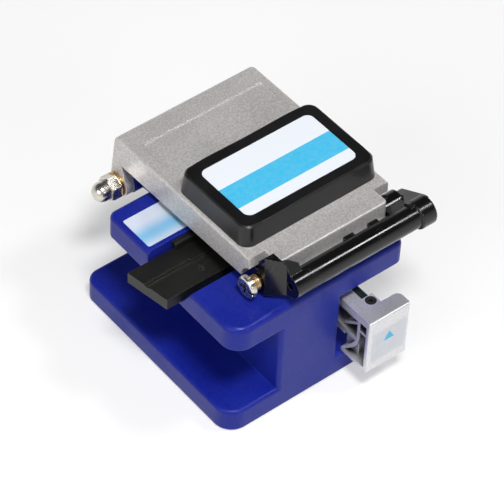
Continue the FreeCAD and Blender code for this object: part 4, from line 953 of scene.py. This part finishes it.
def coil(start: Vector, axis: Axis, radius: float, wire: float, length: float, turns: float) -> BMesh:
    """Wind a smooth round wire into a coil spring.

    Args:
        start: Centre of the coil's first turn, in millimetres.
        axis: Direction that the coil grows in.
        radius: Radius of the wire's centre line, in millimetres.
        wire: Radius of the wire, in millimetres.
        length: Length between the first and last centre, in millimetres.
        turns: Number of turns.

    Returns:
        The spring's mesh, in metres.
    """
    mesh = bmesh.new()
    steps = round(turns * TURN_STEPS)
    out = Axis.Z.vector if axis is Axis.X else Axis.X.vector
    side = axis.vector.cross(out)
    turned = Matrix((out, axis.vector, side)).transposed().to_4x4()
    placed = Matrix.Translation((start + out * radius) * MM) @ turned
    bmesh.ops.create_circle(mesh, cap_ends=True, segments=WIRE_SIDES, radius=wire * MM, matrix=placed)
    bmesh.ops.spin(
        mesh, geom=mesh.verts[:] + mesh.edges[:] + mesh.faces[:], cent=start * MM, axis=axis.vector,
        dvec=axis.vector * (length / steps * MM), angle=turns * 2 * math.pi, steps=steps, use_duplicate=False
    )
    return mesh


def parts_along_x(node: str) -> list[tuple[Vector, Vector]]:
    """Find the boxes of a CAD piece's parts that stand apart along X.

    Args:
        node: The CAD node.

    Returns:
        Lowest and highest corner of each part, in millimetres.
    """
    points = sorted(corners_of(node), key=lambda point: point.x)
    groups = [[points[0]]]
    for before, point in zip(points, points[1:]):
        if point.x - before.x > PART_GAP:
            groups.append([])
        groups[-1].append(point)
    return [(Vector(map(min, zip(*group))), Vector(map(max, zip(*group)))) for group in groups]


def merge(target: BMesh, added: BMesh) -> None:
    """Add one mesh to another, and free the one added.

    Args:
        target: The mesh that grows.
        added: The mesh that goes into it.
    """
    held = bpy.data.meshes.new("held")
    added.to_mesh(held)
    added.free()
    target.from_mesh(held)
    bpy.data.meshes.remove(held)


@dataclass(frozen=True)
class Spring:
    """Smooth coil spring that stands for a coarse one of the CAD.

    The wire is a radius, and the lean is how far the coil's axis tips from the main
    direction, in degrees. A joint is named where the part below presses the coil up, and
    the travel is how far; the travel is not used.
    """

    node: str
    axis: Axis
    wire: float
    turns: float
    finish: Finish
    lean: float = 0.0
    joint: str = ""
    travel: float = 0.0

    def wind(self) -> None:
        """Wind one coil for each part of the CAD piece, in one piece that replaces it."""
        merged = bmesh.new()
        for low, high in parts_along_x(self.node):
            merge(merged, self.one(low, high))
        piece = piece_from(self.node + "_wound", merged, self.finish, Body.LID)
        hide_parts(self.node)
        if self.joint:
            self.let_compress(piece)

    def let_compress(self, piece: bpy.types.Object) -> None:
        """Give the wound spring its own copy of its mesh; its coils are not made to close up.

        Args:
            piece: The wound spring.
        """
        along = Matrix.Rotation(-math.radians(self.lean), 3, "X") @ self.axis.vector
        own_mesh(piece)

    def one(self, low: Vector, high: Vector) -> BMesh:
        """Wind the coil that fills one box.

        Args:
            low: Lowest corner of the box in millimetres.
            high: Highest corner of the box in millimetres.

        Returns:
            The coil's mesh, in metres.
        """
        size, middle = high - low, (low + high) / 2
        lean = math.radians(self.lean)
        if self.axis is Axis.X:
            radius, length = size.z / 2 - self.wire, size.x - 2 * self.wire
        else:
            radius = size.x / 2 - self.wire
            spread = 2 * (radius + self.wire) * math.sin(lean)
            length = (size.z - spread) / math.cos(lean) - 2 * self.wire
        start = middle - self.axis.vector * length / 2
        mesh = coil(start, self.axis, radius, self.wire, length, self.turns)
        tipped = Matrix.Rotation(-lean, 3, "X")
        bmesh.ops.rotate(mesh, verts=mesh.verts[:], cent=middle * MM, matrix=tipped)
        return mesh


# ---------------------------------------------------------------- sub-assemblies
@dataclass
class BaseUnit:
    """Painted casting with its sole and the bare label on its table."""

    label_left: float = -29.0
    label_right: float = -14.0
    label_front: float = 7.2
    label_back: float = 19.6
    label_thickness: float = 0.12
    label_lift: float = 0.005
    label_corner: float = 0.6
    magnet_sunk: float = 0.05
    fade_front: float = 1.5
    fade_back: float = 6.5
    fade_soft: float = 2.5

    def build(self) -> None:
        """Dress the casting and put the label on the table."""
        dress(BLUE_PAINT, "body_casting")
        dress(RUBBER, "rubber_sole")
        self.label()

    def label(self) -> None:
        """Plain pale label with a soft fade, stuck on the table."""
        table = box_of("lid_magnet")[1].z + self.magnet_sunk
        low = Vector((self.label_left, self.label_front, table + self.label_lift))
        high = Vector((self.label_right, self.label_back, table + self.label_thickness))
        finish = Film(
            "table_label_film", ground=tone(210, 220, 236), ink=tone(128, 190, 230), centre=tuple(low * MM),
            across=Axis.Y, band_low=self.fade_front, band_high=self.fade_back, soft=self.fade_soft
        )
        mesh = plate(low, high, Axis.Z, self.label_corner)
        piece_from("table_label", mesh, finish, Body.BASE)


@dataclass
class FibreHolder:
    """Black holder plate, its guide rail and screws, and the lower clamps."""

    def build(self) -> None:
        """Dress the holder, the lower clamps and the magnet beside them."""
        dress(BLACK_HOLDER, "adapter_plate", "fibre_guide_rail")
        dress(DARK_STEEL, "adapter_screws")
        dress(STEEL, "lower_clamp_left", "lower_clamp_right")
        dress(RUBBER, "lower_pad_left", "lower_pad_right")
        dress(NICKEL, "lid_magnet")


@dataclass
class LidUnit:
    """Silver lid with its black cover, label, hinge hardware, springs, clamps and anvil."""

    label_gap: float = 0.12
    label_thickness: float = 0.2
    band_front: float = -6.9
    band_back: float = 2.0
    tilt: float = 2.6
    hinge_wire: float = 0.4
    hinge_turns: float = 3.0
    clamp_wire: float = 0.3
    clamp_turns: float = 1.5
    clamp_travel: float = 0.85
    anvil_wire: float = 0.25
    anvil_turns: float = 2.0
    anvil_travel: float = 1.25

    def build(self) -> None:
        """Dress the lid and everything it carries, and wind its springs."""
        dress(SILVER_CAST, "lid_casting")
        dress(BLACK_COVER, "lid_cap")
        dress(NICKEL, "hinge_pin", "hinge_nut", "striker_disc")
        dress(BRASS, "hinge_washer")
        dress(STEEL, "upper_clamp_left", "upper_clamp_right", "anvil")
        dress(RUBBER, "upper_pad_left", "upper_pad_right")
        self.label()
        Spring("hinge_spring", Axis.X, self.hinge_wire, self.hinge_turns, WIRE).wind()
        for side in ("left", "right"):
            Spring(
                f"clamp_springs_{side}", Axis.Z, self.clamp_wire, self.clamp_turns, WIRE,
                lean=self.tilt, joint=f"clamp_{side}_lift", travel=self.clamp_travel
            ).wind()
        Spring(
            "anvil_spring", Axis.Z, self.anvil_wire, self.anvil_turns, WIRE,
            lean=self.tilt, joint="anvil_lift", travel=self.anvil_travel
        ).wind()

    def label(self) -> None:
        """Bare label with one cyan band, sunk in the cover's recess."""
        normal, centre, corners = widest_flat("lid_cap", Axis.Z.vector)
        finish = Film(
            "cover_label_film", ground=tone(238, 243, 250), ink=tone(66, 192, 236), centre=tuple(centre),
            across=Axis.Y, band_low=self.band_front, band_high=self.band_back
        )
        mesh = film_on(corners, normal, self.label_gap, self.label_thickness)
        piece_from("cover_label", mesh, finish, Body.LID)


@dataclass
class BailUnit:
    """Black lever on the lid's front corners, with its screws and its spring."""

    spring_turns: float = 6.0
    spring_wire: float = 0.19

    def build(self) -> None:
        """Dress the lever and its screws, and wind its spring."""
        dress(BLACK_LEVER, "bail_lever")
        dress(NICKEL, "bail_screws")
        Spring("bail_spring", Axis.X, self.spring_wire, self.spring_turns, BRASS).wind()


@dataclass
class SliderUnit:
    """Push block on its rail, with the blade wheel, its holder and its position numbers."""

    label_rise: float = 9.8
    front_depth: float = 0.1
    numeral_size: float = 1.7
    numeral_count: int = 16
    numeral_inset: float = 1.9
    numeral_depth: float = 0.02

    def build(self) -> None:
        """Dress the slider, the rail and the blade, and number the wheel."""
        dress(self.labelled(), "slider_casting")
        dress(BLACK_STRIP, "push_block_strip")
        dress(DARK_STEEL, "push_block_screw", "carriage_screws", "rail_screws", "holder_screws")
        dress(STEEL, "linear_rail", "rail_carriage", "blade_holder", "blade_axle", "rail_stop_pins")
        dress(GREEN_CAP, "carriage_end_caps")
        dress(CARBIDE, "blade_wheel")
        self.numerals()

    def labelled(self) -> LabelledCast:
        """The casting's finish, with its label in the middle of the push block's front.

        Returns:
            The finish.
        """
        points = corners_of("slider_casting")
        front = min(point.y for point in points)
        across = [point.x for point in points if point.y < front + self.front_depth]
        rise = min(point.z for point in points) + self.label_rise
        middle = Vector(((min(across) + max(across)) / 2, front, rise)) * MM
        cast = vars(BRIGHT_CAST) | {"name": "labelled_casting"}
        return LabelledCast(**cast, label=tone(214, 217, 226), ink=tone(64, 190, 232), middle=tuple(middle))

    def numerals(self) -> None:
        """Position numbers round the wheel's left face."""
        low, high = box_of("blade_wheel")
        centre = Vector((low.x, (low.y + high.y) / 2, (low.z + high.z) / 2)) * MM
        reach = ((high.z - low.z) / 2 - self.numeral_inset) * MM
        facing = Matrix.Rotation(math.radians(-90.0), 4, "Z") @ Matrix.Rotation(math.radians(90.0), 4, "X")
        merged = bmesh.new()
        for index in range(self.numeral_count):
            shape = self.numeral(str(index + 1))
            turn = Matrix.Rotation(2 * math.pi * index / self.numeral_count, 4, "X")
            outward = Matrix.Translation(Axis.Z.vector * reach)
            shape.transform(Matrix.Translation(centre) @ turn @ outward @ facing)
            merged.from_mesh(shape)
            bpy.data.meshes.remove(shape)
        piece_from("wheel_numerals", merged, MARKING, Body.BLADE)

    def numeral(self, text: str) -> bpy.types.Mesh:
        """One number as a thin mesh, centred on its own origin and read along X.

        Args:
            text: The number.

        Returns:
            Its mesh, in metres.
        """
        curve = bpy.data.curves.new("numeral", "FONT")
        curve.body = text
        curve.size = self.numeral_size * MM
        curve.extrude = self.numeral_depth * MM
        curve.resolution_u = 2
        curve.align_x = "CENTER"
        curve.align_y = "CENTER"
        holder = bpy.data.objects.new("numeral", curve)
        bpy.context.scene.collection.objects.link(holder)
        view = bpy.context.evaluated_depsgraph_get()
        made = bpy.data.meshes.new_from_object(holder.evaluated_get(view))
        bpy.data.objects.remove(holder)
        bpy.data.curves.remove(curve)
        return made


# ---------------------------------------------------------------- studio
@dataclass(frozen=True)
class Lamp:
    """Soft lamp aimed at the middle of the part; its distance and width are in metres."""

    name: str
    azimuth: float
    elevation: float
    distance: float
    width: float
    power: float
    shape: float = 0.7

    def hang(self, target: Vector) -> None:
        """Hang the lamp.

        Args:
            target: The point it is aimed at, in metres.
        """
        data = bpy.data.lights.new(self.name, "AREA")
        data.shape = "RECTANGLE"
        data.size = self.width
        data.size_y = self.width * self.shape
        data.energy = self.power
        away = direction(self.azimuth, self.elevation)
        lamp = bpy.data.objects.new(self.name, data)
        lamp.location = target + away * self.distance
        lamp.rotation_euler = away.to_track_quat("Z", "Y").to_euler()
        bpy.context.scene.collection.objects.link(lamp)


@dataclass(frozen=True)
class Camera:
    """Long lens from the front left, looking down at the part."""

    place: Triple = (-384.638, -448.799, 665.891)
    azimuth: float = -40.830
    elevation: float = 46.929
    roll: float = 3.061
    lens: float = 214.286
    sensor: float = 36.0
    nearest: float = 10.0
    farthest: float = 50000.0

    def set_up(self) -> None:
        """Create the camera and make it the scene's."""
        back = direction(self.azimuth, self.elevation)
        level = Axis.Z.vector.cross(back).normalized()
        upright = back.cross(level)
        lean = math.radians(self.roll)
        right = level * math.cos(lean) + upright * math.sin(lean)
        up = upright * math.cos(lean) - level * math.sin(lean)
        data = bpy.data.cameras.new("camera")
        data.lens = self.lens
        data.sensor_width = self.sensor
        data.clip_start = self.nearest * MM
        data.clip_end = self.farthest * MM
        camera = bpy.data.objects.new("camera", data)
        turned = Matrix((right, up, back)).transposed().to_4x4()
        camera.matrix_world = Matrix.Translation(Vector(self.place) * MM) @ turned
        bpy.context.scene.collection.objects.link(camera)
        bpy.context.scene.camera = camera


@dataclass(frozen=True)
class Studio:
    """Pale floor, white surround and soft lamps; lengths here are in metres."""

    floor_size: float = 6.0
    floor_shade: float = 0.62
    floor_lift: float = 0.38
    sky_top: float = 0.06
    sky_side: float = 0.3
    mirrored_side: float = 0.95
    sky_fade: float = 0.55
    target: Triple = (0.0, 0.0, 0.03)
    lamps: tuple[Lamp, ...] = (
        Lamp("key", azimuth=-24.0, elevation=66.0, distance=1.2, width=0.3, power=10.0),
        Lamp("left", azimuth=-78.0, elevation=32.0, distance=1.4, width=1.0, power=6.0),
        Lamp("right", azimuth=55.0, elevation=57.0, distance=1.4, width=0.24, power=3.4),
        Lamp("front", azimuth=5.0, elevation=30.0, distance=1.4, width=0.6, power=2.0),
    )

    def build(self) -> None:
        """Lay the floor, light the part and set the view."""
        self.floor()
        self.surround()
        for lamp in self.lamps:
            lamp.hang(Vector(self.target))
        bpy.context.scene.view_settings.view_transform = "Standard"

    def floor(self) -> None:
        """Pale floor that keeps the part's shadow."""
        mesh = bmesh.new()
        bmesh.ops.create_grid(mesh, x_segments=1, y_segments=1, size=self.floor_size / 2)
        data = bpy.data.meshes.new("floor")
        mesh.to_mesh(data)
        mesh.free()
        paper = bpy.data.materials.new("floor_paper")
        paper.use_nodes = True
        bench = Bench(paper.node_tree)
        shade = (self.floor_shade, self.floor_shade, self.floor_shade, 1.0)
        matt = bench.add("ShaderNodeBsdfDiffuse", {"Color": shade}).outputs[0]
        glow = bench.add("ShaderNodeEmission", {"Color": WHITE, "Strength": self.floor_lift}).outputs[0]
        lifted = bench.add("ShaderNodeAddShader", {0: matt, 1: glow}).outputs[0]
        seen = bench.math("MAXIMUM", *self.sight(bench))
        surface = bench.add("ShaderNodeMixShader", {0: seen, 1: matt, 2: lifted}).outputs[0]
        bench.add("ShaderNodeOutputMaterial", {"Surface": surface})
        data.materials.append(paper)
        floor = bpy.data.objects.new("floor", data)
        bpy.context.scene.collection.objects.link(floor)

    def sight(self, bench: Bench) -> tuple[Socket, Socket]:
        """Shares that are 1 where a surface is seen by the camera, and in metal or glass.

        Args:
            bench: The bench that they are for.

        Returns:
            The share for the camera, and the share for metal and glass.
        """
        path = bench.add("ShaderNodeLightPath").outputs
        mirrored = bench.math("MAXIMUM", path["Is Glossy Ray"], path["Is Transmission Ray"])
        return path["Is Camera Ray"], mirrored

    def surround(self) -> None:
        """World that is bright near the floor and dark overhead, and white to the camera."""
        world = bpy.data.worlds.new("surround")
        bpy.context.scene.world = world
        world.use_nodes = True
        bench = Bench(world.node_tree)
        facing = bench.add("ShaderNodeTexCoord").outputs["Generated"]
        height = bench.add("ShaderNodeSeparateXYZ", {0: facing}).outputs["Z"]
        seen, mirrored = self.sight(bench)
        side = bench.span(mirrored, 0.0, 1.0, out_low=self.sky_side, out_high=self.mirrored_side)
        level = bench.span(height, 0.0, self.sky_fade, out_low=side, out_high=self.sky_top)
        light = bench.add("ShaderNodeBackground", {"Color": WHITE, "Strength": level}).outputs[0]
        white = bench.add("ShaderNodeBackground", {"Color": WHITE, "Strength": 1.0}).outputs[0]
        surface = bench.add("ShaderNodeMixShader", {0: seen, 1: light, 2: white}).outputs[0]
        bench.add("ShaderNodeOutputWorld", {"Surface": surface})


def main() -> None:
    """Set up the camera, build every sub-assembly in order, then the studio."""
    logging.basicConfig(level=logging.INFO, format="%(message)s")
    Camera().set_up()
    for unit in (BaseUnit(), FibreHolder(), LidUnit(), BailUnit(), SliderUnit()):
        unit.build()
    Studio().build()


if __name__ == "__main__":
    main()
